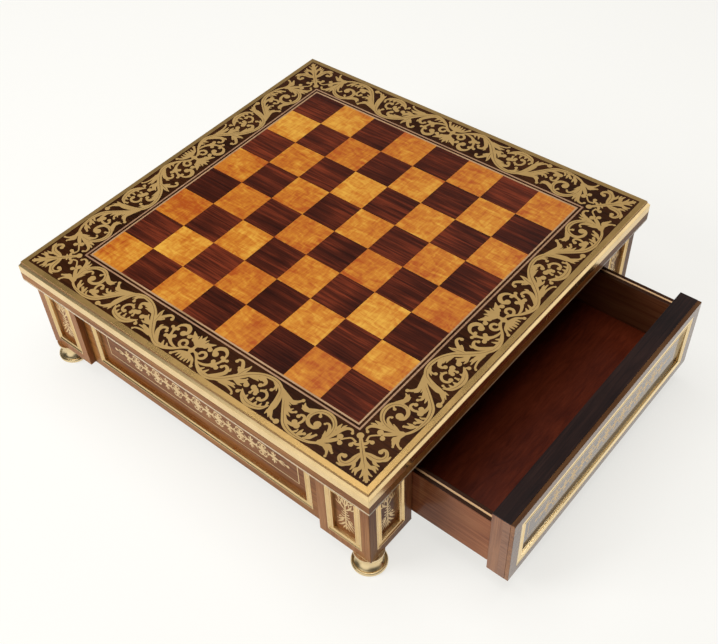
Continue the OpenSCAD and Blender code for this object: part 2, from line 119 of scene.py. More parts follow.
class Wiring:
    """Adds nodes to a node tree and links them."""

    def __init__(self, tree: bpy.types.NodeTree) -> None:
        """Empties the tree.

        Args:
            tree: The node tree of a material or of the world.
        """
        self.nodes = tree.nodes
        self.links = tree.links
        self.nodes.clear()

    def put(self, socket: Socket, value: Value) -> None:
        """Links a socket, or sets it where the value is a plain number, vector or colour."""
        if isinstance(value, bpy.types.NodeSocket):
            self.links.new(value, socket)
        else:
            socket.default_value = value

    def sums(self, kind: str, a: Value, b: Value) -> Socket:
        """Returns a Math node's value of a and b."""
        n = self.nodes.new("ShaderNodeMath")
        n.operation = kind
        self.put(n.inputs[0], a)
        self.put(n.inputs[1], b)
        return n.outputs[0]

    def weighted(self, *parts: tuple[Value, float]) -> Socket:
        """Returns the sum of values, each times its own share."""
        total = self.sums("MULTIPLY", *parts[0])
        for value, share in parts[1:]:
            total = self.sums("ADD", total, self.sums("MULTIPLY", value, share))
        return total

    def vector_sum(self, kind: str, a: Value, b: Value = (0, 0, 0)) -> Socket:
        """Returns a Vector Math node's vector of a and b."""
        n = self.nodes.new("ShaderNodeVectorMath")
        n.operation = kind
        self.put(n.inputs[0], a)
        self.put(n.inputs[1], b)
        return n.outputs[0]

    def scaled(self, vector: Value, share: Value) -> Socket:
        """Returns a vector or a colour times a number."""
        n = self.nodes.new("ShaderNodeVectorMath")
        n.operation = "SCALE"
        self.put(n.inputs[0], vector)
        self.put(n.inputs["Scale"], share)
        return n.outputs[0]

    def dot(self, a: Value, b: Value) -> Socket:
        """Returns how far vector a reaches along the unit vector b."""
        n = self.nodes.new("ShaderNodeVectorMath")
        n.operation = "DOT_PRODUCT"
        self.put(n.inputs[0], a)
        self.put(n.inputs[1], b)
        return n.outputs["Value"]

    def along(self, vector: Value, axis: Axis) -> Socket:
        """Returns one axis of a vector."""
        n = self.nodes.new("ShaderNodeSeparateXYZ")
        self.put(n.inputs[0], vector)
        return n.outputs[axis.name]

    def ramp(self, value: Value, stops: Sequence[tuple[float, Colour]]) -> Socket:
        """Returns a colour that runs through the stops."""
        n = self.nodes.new("ShaderNodeValToRGB")
        elements = n.color_ramp.elements
        while len(elements) < len(stops):
            elements.new(0.5)
        for element, (at, colour) in zip(elements, stops):
            element.position = at
            element.color = (*colour, 1)
        self.put(n.inputs[0], value)
        return n.outputs[0]

    def span(self, value: Value, start: float, end: float, first: float = 0.0, last: float = 1.0) -> Socket:
        """Returns a value mapped from start and end onto first and last, and held between them."""
        n = self.nodes.new("ShaderNodeMapRange")
        self.put(n.inputs["Value"], value)
        for key, v in (("From Min", start), ("From Max", end), ("To Min", first), ("To Max", last)):
            n.inputs[key].default_value = v
        return n.outputs[0]

    def blend(self, kind: str, share: Value, a: Value, b: Value) -> Socket:
        """Returns a Mix node's colour of a and b."""
        n = self.nodes.new("ShaderNodeMix")
        n.data_type = "RGBA"
        n.blend_type = kind
        self.put(n.inputs[0], share)
        for socket, value in ((n.inputs[6], a), (n.inputs[7], b)):
            self.put(socket, (*value, 1) if isinstance(value, tuple) else value)
        return n.outputs[2]

    def looked_at(self) -> Socket:
        """Returns 1 for rays of the camera, reflections and clear pieces, and 0 for rays that carry light."""
        path = self.nodes.new("ShaderNodeLightPath")
        seen = path.outputs["Is Camera Ray"]
        for kind in ("Is Glossy Ray", "Is Transmission Ray"):
            seen = self.sums("MAXIMUM", seen, path.outputs[kind])
        return seen


class Tree(Wiring):
    """Wires the nodes of one material round a Principled shader."""

    def __init__(self, name: str) -> None:
        """Makes a material with nothing but its shader.

        Args:
            name: The material's name.
        """
        self.material = bpy.data.materials.new(name)
        self.material.use_nodes = True
        super().__init__(self.material.node_tree)
        self.shader = self.nodes.new("ShaderNodeBsdfPrincipled")
        self.output = self.nodes.new("ShaderNodeOutputMaterial")
        self.links.new(self.shader.outputs[0], self.output.inputs[0])

    def surface(self, **sockets: Value) -> None:
        """Links or sets the shader's sockets, with underscores for the spaces in their names."""
        for key, value in sockets.items():
            self.put(self.shader.inputs[key.replace("_", " ")], value)

    def place(self) -> Socket:
        """Returns the Object coordinates."""
        return self.nodes.new("ShaderNodeTexCoord").outputs["Object"]

    def normal(self) -> Socket:
        """Returns the direction that a face looks in."""
        return self.nodes.new("ShaderNodeNewGeometry").outputs["True Normal"]

    def stretch(self, vector: Value, scale: Sequence[float], turn: Sequence[float] = (0, 0, 0)) -> Socket:
        """Returns a vector scaled and turned by a Mapping node."""
        n = self.nodes.new("ShaderNodeMapping")
        self.put(n.inputs["Vector"], vector)
        n.inputs["Scale"].default_value = scale
        n.inputs["Rotation"].default_value = turn
        return n.outputs[0]

    def noise(self, vector: Value, scale: float = 1.0, detail: float = 2.0, rough: float = 0.5,
              warp: float = 0.0) -> Socket:
        """Returns a noise value from 0 to 1."""
        n = self.nodes.new("ShaderNodeTexNoise")
        self.put(n.inputs["Vector"], vector)
        for key, v in (("Scale", scale), ("Detail", detail), ("Roughness", rough), ("Distortion", warp)):
            n.inputs[key].default_value = v
        return n.outputs["Fac"]

    def bump(self, height: Value, depth: float, strength: float) -> Socket:
        """Returns a normal bent by a height."""
        n = self.nodes.new("ShaderNodeBump")
        n.inputs["Strength"].default_value = strength
        n.inputs["Distance"].default_value = depth
        self.put(n.inputs["Height"], height)
        return n.outputs[0]

    def polish(self, place: Value) -> Socket:
        """Returns the normal of a hand-rubbed coat, with a ripple 18 mm long and 0.12 mm deep."""
        return self.bump(self.noise(place, 55.0), 0.00012, 0.25)

    def cell(self, size: float) -> tuple[Socket, Socket]:
        """Picks at random for each square of the playing field.

        Args:
            size: Width of a square. Squares are counted from the frame's origin.

        Returns:
            A random value and a random vector, the same all over a square.
        """
        whole = self.vector_sum("FLOOR", self.scaled(self.place(), 1 / size))
        n = self.nodes.new("ShaderNodeTexWhiteNoise")
        self.put(n.inputs["Vector"], self.vector_sum("MULTIPLY", whole, (1, 1, 0)))
        return n.outputs["Value"], n.outputs["Color"]


@dataclass(frozen=True)
class PolishedWood:
    """A french polished wood: streaks along the grain, pores, a slow change of tone, a clear coat, and
    painted shade where asked.

    Attributes:
        name: The material's name.
        deep: Colour of the dark streaks.
        middle: Colour between the streaks.
        bright: Colour of the light streaks.
        grain: The axis that the grain runs along.
        streak: Width of a streak.
        length: Length of a streak.
        warp: How far the wide streaks wander.
        cell: Width of the squares that are cut from different parts of the wood, or 0.
        cell_tone: How much lighter or darker such a square may be.
        rough: Roughness of the wood.
        coat: Weight of the coat.
        coat_rough: Roughness of the coat.
        coat_ior: Refractive index of the coat.
        top_painted_shade: Share of the colour that is left on faces that look up; the rest is painted shade.
        inner_painted_shade: Share of the colour that is left on faces that look towards the plane y = 0; the
            rest is painted shade.
    """

    name: str
    deep: Colour
    middle: Colour
    bright: Colour
    grain: Axis = Axis.X
    streak: float = 0.003
    length: float = 0.08
    warp: float = 0.6
    cell: float = 0.0
    cell_tone: float = 0.0
    rough: float = 0.32
    coat: float = 1.0
    coat_rough: float = 0.07
    coat_ior: float = 1.3
    top_painted_shade: float = 1.0
    inner_painted_shade: float = 1.0

    def layer(self, t: Tree, place: Value, lengths: float, streaks: float, detail: float, rough: float,
              warp: float = 0.0) -> Socket:
        """Makes one layer of the figure, drawn out along the grain.

        Args:
            t: The material's wiring.
            place: The place that the layer is read at.
            lengths: Its length as a share of a streak's length.
            streaks: Its width as a share of a streak's width.
            detail: Number of finer copies laid over it.
            rough: Strength of each finer copy.
            warp: How far it wanders.

        Returns:
            A value from 0 to 1.
        """
        scale = [1 / (self.streak * streaks)] * 3
        scale[self.grain] = 1 / (self.length * lengths)
        return t.noise(t.stretch(place, scale), 1.0, detail, rough, warp)

    def with_painted_shade(self, t: Tree, colour: Socket) -> Socket:
        """Returns the colour with painted shade: darkened on faces that look up, and on faces that look
        inwards.
        """
        # Painted shade on faces that look up.
        if self.top_painted_shade < 1:
            upward = t.along(t.normal(), Axis.Z)
            colour = t.scaled(colour, t.span(upward, 0.3, 0.8, 1.0, self.top_painted_shade))
        # Painted shade on faces that look towards the middle, such as the insides of the drawers.
        if self.inner_painted_shade < 1:
            outward = t.sums("MULTIPLY", t.along(t.normal(), Axis.Y), t.along(t.place(), Axis.Y))
            colour = t.scaled(colour, t.span(outward, -0.05, -0.02, self.inner_painted_shade, 1.0))
        return colour

    def make(self) -> bpy.types.Material:
        """Returns the material."""
        t = Tree(self.name)
        place = t.place()
        if self.cell:
            tone, offset = t.cell(self.cell)
            place = t.vector_sum("ADD", place, offset)
        wide = self.layer(t, place, 1.0, 2.4, 4.0, 0.6, self.warp)
        fine = self.layer(t, place, 0.5, 0.5, 3.0, 0.6, 0.3)
        pores = self.layer(t, place, 0.12, 0.12, 2.0, 0.7)
        patch = t.sums("SUBTRACT", t.noise(place, 14.0), 0.5)
        mixed = t.weighted((wide, 0.62), (fine, 0.38), (patch, 0.45))
        colour = t.ramp(mixed, [(0.34, self.deep), (0.5, self.middle), (0.68, self.bright)])
        colour = t.scaled(colour, t.span(pores, 0.30, 0.42, 0.72, 1.0))
        if self.cell:
            colour = t.scaled(colour, t.span(tone, 0.0, 1.0, 1 - self.cell_tone, 1 + self.cell_tone))
        grooves = t.sums("ADD", fine, t.sums("MULTIPLY", pores, 0.5))
        # The base colour carries the painted shade.
        t.surface(Base_Color=self.with_painted_shade(t, colour),
                  Roughness=t.span(fine, 0.2, 0.8, self.rough - 0.06, self.rough + 0.08),
                  Normal=t.bump(grooves, 0.00004, 0.5), Specular_IOR_Level=0.06,
                  Coat_Normal=t.polish(place), Coat_Weight=self.coat, Coat_Roughness=self.coat_rough,
                  Coat_IOR=self.coat_ior)
        return t.material


@dataclass(frozen=True)
class FiguredWood:
    """A pale polished veneer with a mottled figure, cut so that each square shows another part of it.

    Attributes:
        name: The material's name.
        ruddy: Colour of the dark mottles.
        middle: Colour between the mottles.
        yellow: Colour of the light mottles.
        cell: Width of a square.
        cell_tone: How much lighter or darker a square may be.
        coat_ior: Refractive index of the coat.
    """

    name: str
    ruddy: Colour
    middle: Colour
    yellow: Colour
    cell: float
    cell_tone: float = 0.12
    coat_ior: float = 1.5

    def make(self) -> bpy.types.Material:
        """Returns the material."""
        t = Tree(self.name)
        tone, offset = t.cell(self.cell)
        place = t.vector_sum("ADD", t.place(), offset)
        mottle = t.noise(t.stretch(place, (60, 150, 100), (0, 0, 0.35)), warp=0.9)
        cloud = t.noise(place, 28.0, warp=0.6)
        curl = t.noise(t.stretch(place, (330, 75, 100), (0, 0, -0.6)), warp=0.7)
        grain = t.noise(t.stretch(place, (25, 700, 300)), 1.0, 3.0, 0.6, 0.2)
        figure = t.weighted((mottle, 0.60), (cloud, 0.52), (curl, 0.42), (grain, 0.26))
        centred = t.span(tone, 0, 1, -self.cell_tone - 0.4, self.cell_tone - 0.4)
        colour = t.ramp(t.sums("ADD", figure, centred),
                        [(0.24, self.ruddy), (0.5, self.middle), (0.76, self.yellow)])
        t.surface(Base_Color=colour, Roughness=t.span(grain, 0.2, 0.8, 0.26, 0.4),
                  Normal=t.bump(grain, 0.00003, 0.4), Specular_IOR_Level=0.3,
                  Coat_Normal=t.polish(place), Coat_Weight=1.0, Coat_Roughness=0.08, Coat_IOR=self.coat_ior)
        return t.material


@dataclass(frozen=True)
class Brass:
    """Brass with a faint brushed lay and darker patches of tarnish.

    Attributes:
        name: The material's name.
        clean: Colour of the clean metal.
        tarnished: Colour of the tarnish.
        rough: Middle roughness.
        metallic: How much of it mirrors as metal does, and not as a dull lacquer.
        patch: Strength of the tarnish.
        shine: Strength of the lacquer's reflections.
    """

    name: str
    clean: Colour
    tarnished: Colour
    rough: float
    metallic: float = 1.0
    patch: float = 0.3
    shine: float = 0.5

    def make(self) -> bpy.types.Material:
        """Returns the material."""
        t = Tree(self.name)
        place = t.place()
        cloud = t.noise(place, 38.0, 4.0, 0.6, 0.4)
        specks = t.ramp(t.noise(place, 130.0), [(0.3, (0.86, 0.82, 0.74)), (0.6, (1, 1, 1))])
        lay = t.noise(t.stretch(place, (500, 500, 160)))
        colour = t.blend("MIX", t.span(cloud, 0.35, 0.75, 0.0, self.patch), self.clean, self.tarnished)
        brushed = t.sums("ADD", cloud, t.sums("MULTIPLY", lay, 0.1))
        t.surface(Base_Color=t.blend("MULTIPLY", 0.35, colour, specks),
                  Roughness=t.span(brushed, 0.4, 0.9, self.rough * 0.8, self.rough * 1.35),
                  Normal=t.bump(t.noise(place, 40.0), 0.0002, 0.15),
                  Metallic=self.metallic, Specular_IOR_Level=self.shine)
        return t.material


@dataclass(frozen=True)
class PlainBoard:
    """A waxed or bare softwood board: broad rings along the grain, and no polish.

    Attributes:
        name: The material's name.
        deep: Colour of the dark rings.
        bright: Colour of the light rings.
        grain: The axis that the grain runs along.
        rough: Roughness of the wood.
    """

    name: str
    deep: Colour
    bright: Colour
    grain: Axis = Axis.Y
    rough: float = 0.6

    def make(self) -> bpy.types.Material:
        """Returns the material."""
        middle = tuple((a + b) / 2 for a, b in zip(self.deep, self.bright))
        wood = PolishedWood(self.name, self.deep, middle, self.bright, self.grain, streak=0.004, length=0.16,
                            rough=self.rough, coat=0.0)
        return wood.make()


@dataclass(frozen=True)
class Steel:
    """Plain turned steel for screws and studs, with fine rings up its height.

    Attributes:
        name: The material's name.
        deep: Colour of the dark rings.
        bright: Colour of the light rings.
    """

    name: str
    deep: Colour
    bright: Colour

    def make(self) -> bpy.types.Material:
        """Returns the material."""
        t = Tree(self.name)
        rings = t.noise(t.stretch(t.place(), (400, 400, 2600)))
        t.surface(Base_Color=t.ramp(rings, [(0.3, self.deep), (0.7, self.bright)]),
                  Roughness=t.span(rings, 0.2, 0.8, 0.28, 0.5), Normal=t.bump(rings, 0.00005, 0.4),
                  Metallic=1.0)
        return t.material


class Finish(Enum):
    """Each finish that the box wears, made once."""

    LIGHT_SQUARE = FiguredWood(
        "light_square_satinwood", (0.42, 0.075, 0.003), (0.60, 0.205, 0.014), (0.79, 0.41, 0.05), cell=0.045)
    DARK_SQUARE = PolishedWood(
        "dark_square_rosewood", (0.026, 0.005, 0.0025), (0.068, 0.012, 0.005), (0.20, 0.034, 0.012), Axis.X,
        streak=0.0018, length=0.09, warp=0.7, cell=0.045, cell_tone=0.2, coat_ior=1.25)
    STRING = PolishedWood(
        "pale_string_holly", (0.38, 0.22, 0.11), (0.48, 0.29, 0.155), (0.55, 0.35, 0.2), Axis.X,
        streak=0.001, length=0.03)
    DRAWER_STRING = PolishedWood(
        "pale_string_of_the_drawers", (0.55, 0.33, 0.16), (0.68, 0.43, 0.22), (0.76, 0.51, 0.29), Axis.X,
        streak=0.001, length=0.03)
    OUTER_STRING = PolishedWood(
        "pale_string_outer", (0.30, 0.16, 0.09), (0.40, 0.23, 0.13), (0.48, 0.29, 0.17), Axis.X,
        streak=0.001, length=0.03)
    FRIEZE_STRING = PolishedWood(
        "pale_string_frieze", (0.88, 0.64, 0.37), (0.94, 0.73, 0.46), (0.96, 0.79, 0.54), Axis.X,
        streak=0.001, length=0.03)
    EBONY = PolishedWood(
        "border_ebony", (0.016, 0.0045, 0.0012), (0.034, 0.0095, 0.0022), (0.056, 0.017, 0.004), Axis.X,
        streak=0.0018, length=0.06, coat=0.3, coat_ior=1.25)
    ROSEWOOD_UP = PolishedWood(
        "rosewood_upright", (0.26, 0.09, 0.027), (0.44, 0.175, 0.06), (0.59, 0.275, 0.105), Axis.Z,
        streak=0.0022, length=0.09, coat=0.1)
    ROSEWOOD_X = PolishedWood(
        "rosewood_along_x", (0.23, 0.075, 0.015), (0.39, 0.145, 0.033), (0.54, 0.235, 0.062), Axis.X,
        streak=0.0022, length=0.12, coat=0.15)
    ROSEWOOD_Y = PolishedWood(
        "rosewood_along_y", (0.09, 0.026, 0.010), (0.17, 0.06, 0.024), (0.26, 0.11, 0.045), Axis.Y,
        streak=0.0022, length=0.12)
    GROUND = PolishedWood(
        "sunk_ground_rosewood", (0.20, 0.06, 0.014), (0.33, 0.115, 0.03), (0.44, 0.175, 0.052), Axis.X,
        streak=0.002, length=0.07, coat=0.12)
    GROUND_FRONT = PolishedWood(
        "sunk_ground_of_the_drawers", (0.13, 0.05, 0.024), (0.23, 0.10, 0.05), (0.33, 0.15, 0.075), Axis.Y,
        streak=0.002, length=0.07, coat_ior=1.65)
    CAPPING = PolishedWood(
        "capping_ebony", (0.006, 0.003, 0.003), (0.014, 0.006, 0.005), (0.028, 0.012, 0.009), Axis.Y,
        streak=0.0018, length=0.08)
    # The facing's tops are darkened as painted shade.
    FACING = PolishedWood(
        "facing_rosewood", (0.28, 0.095, 0.027), (0.44, 0.17, 0.05), (0.56, 0.245, 0.08), Axis.Y,
        streak=0.0022, length=0.12, coat_ior=1.31, top_painted_shade=0.2)
    CORE_LIP = PolishedWood(
        "core_cross_band", (0.26, 0.10, 0.045), (0.42, 0.18, 0.085), (0.53, 0.25, 0.12), Axis.X,
        streak=0.0012, length=0.02)
    CORE = PolishedWood(
        "front_core_mahogany", (0.30, 0.105, 0.04), (0.46, 0.185, 0.075), (0.58, 0.26, 0.11), Axis.Z,
        streak=0.0022, length=0.1)
    # The sides' tops and inner faces are darkened as painted shade.
    DRAWER_SIDE = PolishedWood(
        "drawer_side_rosewood", (0.27, 0.075, 0.028), (0.46, 0.16, 0.064), (0.60, 0.245, 0.102), Axis.X,
        streak=0.0022, length=0.11, coat=0.25, top_painted_shade=0.08, inner_painted_shade=0.27)
    # The back is the sides' rosewood made darker, as painted shade inside the drawer.
    DRAWER_BACK = PolishedWood(
        "drawer_back_rosewood", (0.045, 0.012, 0.006), (0.085, 0.025, 0.012), (0.13, 0.044, 0.02), Axis.Y,
        streak=0.0022, length=0.1)
    DRAWER_FLOOR = PolishedWood(
        "drawer_floor_mahogany", (0.060, 0.0085, 0.003), (0.088, 0.0135, 0.0042), (0.117, 0.0195, 0.0063),
        Axis.Y, streak=0.004, length=0.05, warp=1.6, coat=0.2, coat_rough=0.2)
    CARCASE = PlainBoard("carcase_cedar", (0.24, 0.11, 0.05), (0.42, 0.22, 0.11))
    RUNNER = PlainBoard("runner_beech", (0.38, 0.25, 0.14), (0.56, 0.4, 0.25), Axis.X, rough=0.45)
    FRET = Brass(
        "dull_brass_of_the_border", (0.455, 0.288, 0.103), (0.355, 0.22, 0.077), 0.55, metallic=0.1,
        patch=0.25, shine=0.15)
    PANEL_FRET = Brass(
        "pale_brass_of_the_panels", (0.83, 0.59, 0.29), (0.64, 0.43, 0.2), 0.36, metallic=0.75, patch=0.25)
    EDGE = Brass("bright_brass_of_the_edging", (0.85, 0.63, 0.32), (0.66, 0.45, 0.19), 0.24, metallic=0.95)
    # The band is the edging's brass made darker, as painted shade on its flat top, and a little rougher.
    BAND = Brass("satin_brass_of_the_band", (0.56, 0.35, 0.118), (0.445, 0.26, 0.082), 0.3, metallic=0.75)
    FRAME = Brass("toned_brass_of_the_frames", (0.79, 0.57, 0.28), (0.62, 0.43, 0.19), 0.3)
    DRAWER_FRAME = Brass("bright_brass_of_the_drawer_frames", (0.92, 0.73, 0.43), (0.7, 0.5, 0.25), 0.2)
    FOOT = Brass("bright_brass_of_the_feet", (0.80, 0.63, 0.36), (0.61, 0.45, 0.22), 0.3)
    STEEL = Steel("screw_steel", (0.32, 0.31, 0.3), (0.55, 0.54, 0.53))

    def material(self) -> bpy.types.Material:
        """Returns the finish's material, and makes it at the first call."""
        if self.name not in MADE:
            MADE[self.name] = self.value.make()
        return MADE[self.name]


MADE: dict[str, bpy.types.Material] = {}


def dress(node: str, finish: Finish) -> None:
    """Gives a made node its finish.

    Args:
        node: The node's name.
        finish: The finish that replaces the node's own.
    """
    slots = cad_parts[node].material_slots
    for slot in slots:
        slot.material = finish.material()
    if not slots:
        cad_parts[node].data.materials.append(finish.material())


# ---- Meshes ----


@dataclass
class Shell:
    """Points and faces of one piece, gathered part by part.

    Attributes:
        points: The points of each part.
        faces: Point numbers of each face, counted through all parts.
        count: Number of points so far.
    """

    points: list[np.ndarray] = field(default_factory=list)
    faces: list[list[int]] = field(default_factory=list)
    count: int = 0

    def add(self, points: np.ndarray, faces: Iterable[Sequence[int]]) -> None:
        """Adds points and the faces between them.

        Args:
            points: One row of x, y, z for each point.
            faces: Point numbers within points, anticlockwise from outside.
        """
        self.points.append(np.asarray(points, float))
        self.faces.extend([[int(i) + self.count for i in f] for f in faces])
        self.count += len(points)

    def add_square_run(self, profile: np.ndarray, half: float, gap: float,
                       middle: Point = (0.0, 0.0)) -> None:
        """Adds four mitred lengths that run round a square.

        Args:
            profile: The section, as rows of (distance in from the outer edge, height), anticlockwise.
            half: Half the square's width.
            gap: Half the open joint at each mitre.
            middle: The square's middle.
        """
        bar = mitred_bar(profile, half, half, gap)
        for side in Side:
            laid = np.column_stack([bar[:, 0], -bar[:, 1], bar[:, 2]]) @ side.turn().T
            self.add(laid + [*middle, 0.0], prism_faces(len(profile)))

    def piece(self, name: str, body: str, finish: Finish, slot: str, replaces: Sequence[str] = (),
              sharp: float = 32.0) -> bpy.types.Object:
        """Makes the object.

        Args:
            name: The piece's name.
            body: The body that it rides on.
            finish: Its finish.
            slot: The record's material slot. It is passed on and not used.
            replaces: The nodes that it stands for.
            sharp: Edges that turn by more than this many degrees stay sharp.

        Returns:
            The piece.
        """
        mesh = bpy.data.meshes.new(name)
        mesh.from_pydata(np.vstack(self.points).tolist(), [], self.faces)
        mesh.validate()
        smooth_up_to(mesh, sharp)
        return mount(bpy.data.objects.new(name, mesh), body, finish, slot, replaces)


def smooth_up_to(mesh: bpy.types.Mesh, sharp: float) -> None:
    """Shades a mesh smooth, but for the edges that turn by more than sharp, in degrees."""
    mesh.polygons.foreach_set("use_smooth", np.ones(len(mesh.polygons), bool))
    mesh.update()
    mesh.set_sharp_from_angle(angle=math.radians(sharp))


def mount(piece: bpy.types.Object, body: str, finish: Finish, slot: str,
          replaces: Sequence[str] = ()) -> bpy.types.Object:
    """Links a piece into the scene, dresses it and seats it on its body.

    Args:
        piece: A new object at the origin.
        body: The body that it rides on.
        finish: Its finish.
        slot: The record's material slot.
        replaces: The nodes that it stands for.

    Returns:
        The piece.
    """
    bpy.context.scene.collection.objects.link(piece)
    piece.data.materials.clear()
    piece.data.materials.append(finish.material())
    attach(piece, body)
    if replaces:
        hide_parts(*replaces)
    LOG.info("%s: %d faces on %s", piece.name, len(piece.data.polygons), body)
    return piece


def prism_faces(n: int) -> list[list[int]]:
    """Returns the faces of a closed prism between two rings of n points, 0 to n - 1 and n to 2 n - 1.

    They look outwards where the rings run clockwise as seen from the first towards the second.
    """
    i = np.arange(n)
    j = (i + 1) % n
    walls = np.stack([i, j, j + n, i + n], 1).tolist()
    return walls + [i[::-1].tolist(), (i + n).tolist()]


def mitred_bar(profile: np.ndarray, reach: float, half: float, gap: float) -> np.ndarray:
    """Points of a bar whose ends are cut at 45 degrees.

    Each point of the profile is run along the bar from one cut to the other. A cut lies where the distance
    along the bar equals the half length less the point's distance in from the bar's outer edge.

    Args:
        profile: Rows of (distance in from the outer edge, height).
        reach: Distance of the bar's outer edge from the middle of what it frames.
        half: Half the bar's length at its outer edge.
        gap: Half the open joint at each mitre.

    Returns:
        Rows of (along, outward, height), first for the left end and then for the right.
    """
    inward, height = profile.T
    end = half - inward - gap
    return np.vstack([np.stack([way * end, reach - inward, height], 1) for way in (-1, 1)])


def eased_copy(node: str, name: str, body: str, finish: Finish, slot: str, width: float) -> bpy.types.Object:
    """Copies a made node and eases its edges.

    Args:
        node: The node that the copy replaces.
        name: The piece's name.
        body: The body that it rides on.
        finish: Its finish.
        slot: The record's material slot. It is passed on and not used.
        width: Width of the eased edge.

    Returns:
        The piece.
    """
    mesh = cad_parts[node].data.copy()
    mesh.name = name
    shape = bmesh.new()
    shape.from_mesh(mesh)
    bmesh.ops.remove_doubles(shape, verts=shape.verts, dist=0.00001)
    bmesh.ops.dissolve_limit(shape, angle_limit=math.radians(0.5), verts=shape.verts, edges=shape.edges)
    bmesh.ops.recalc_face_normals(shape, faces=shape.faces)
    shape.to_mesh(mesh)
    shape.free()
    if "custom_normal" in mesh.attributes:
        mesh.attributes.remove(mesh.attributes["custom_normal"])
    smooth_up_to(mesh, 50)
    piece = mount(bpy.data.objects.new(name, mesh), body, finish, slot, [node])
    bevel = piece.modifiers.new("eased edges", "BEVEL")
    bevel.width = width
    bevel.segments = 2
    bevel.limit_method = "ANGLE"
    bevel.angle_limit = math.radians(40)
    bevel.use_clamp_overlap = True
    bevel.harden_normals = True
    return piece


# ---- Ornament ----


def flowing_line(path: Sequence[Point], step: float) -> np.ndarray:
    """A smooth line through the given points, resampled at even steps.

    Between two points the line is the cubic that passes both, with the slope at each taken from its two
    neighbours. Its length is then summed and divided evenly.

    Args:
        path: Points on the line.
        step: Distance between the samples.

    Returns:
        Rows of x, y.
    """
    p = np.asarray(path, float)
    q = np.vstack([2 * p[0] - p[1], p, 2 * p[-1] - p[-2]])
    t = np.linspace(0, 1, 12, endpoint=False)[:, None]
    a, b, c, d = q[:-3, None], q[1:-2, None], q[2:-1, None], q[3:, None]
    line = 0.5 * (2 * b + (c - a) * t + (2 * a - 5 * b + 4 * c - d) * t**2 + (3 * b - a - 3 * c + d) * t**3)
    line = np.vstack([line.reshape(-1, 2), p[-1:]])
    length = np.concatenate([[0], np.cumsum(np.hypot(*np.diff(line, axis=0).T))])
    at = np.linspace(0, length[-1], max(3, int(length[-1] / step) + 1))
    return np.stack([np.interp(at, length, line[:, k]) for k in (0, 1)], 1)


def ribbon(line: np.ndarray, half: np.ndarray) -> np.ndarray:
    """Returns the outline, anticlockwise, of a band that reaches half its width to each side of a line."""
    tangent = np.gradient(line, axis=0)
    tangent /= np.hypot(*tangent.T)[:, None] + 1e-9
    normal = np.stack([-tangent[:, 1], tangent[:, 0]], 1)
    return np.vstack([line - normal * half[:, None], (line + normal * half[:, None])[::-1]])


@dataclass(frozen=True)
class Stroke:
    """One cut shape of an ornament: a tapering band along a flowing line, in millimetres.

    Attributes:
        path: Points on its middle line.
        widths: Widths at even steps along it.
        ball: Radius of a round end, or 0.
        vein: Whether a fine line is cut along it.
    """

    path: Sequence[Point]
    widths: Sequence[float]
    ball: float = 0.0
    vein: bool = False

    def outlines(self, step: float = 0.8, corners: int = 14) -> list[np.ndarray]:
        """Returns the outlines of its band and of its round end, which has the given number of corners."""
        line = flowing_line(self.path, step)
        t = np.linspace(0, 1, len(line))
        half = np.interp(t, np.linspace(0, 1, len(self.widths)), self.widths) / 2
        out = [ribbon(line, half)]
        if self.ball:
            a = np.linspace(0, 2 * np.pi, corners, endpoint=False)
            out.append(line[-1] + self.ball * np.stack([np.cos(a), np.sin(a)], 1))
        return out

    def veins(self, width: float = 0.2, step: float = 1.2) -> list[np.ndarray]:
        """Returns the outline of the fine line cut along its middle, or nothing.

        The line runs from 12 to 80 hundredths of the stroke, and its width swells as the root of a sine.
        """
        if not self.vein:
            return []
        line = flowing_line(self.path, step)
        line = line[int(len(line) * 0.12):int(len(line) * 0.8)]
        if len(line) < 4:
            return []
        return [ribbon(line, width * np.sin(np.linspace(0.06, np.pi - 0.06, len(line))) ** 0.5)]

    def moved(self, change: Callable[[float, float], Point]) -> "Stroke":
        """Returns the stroke with each point of its path changed."""
        return replace(self, path=[change(*p) for p in self.path])


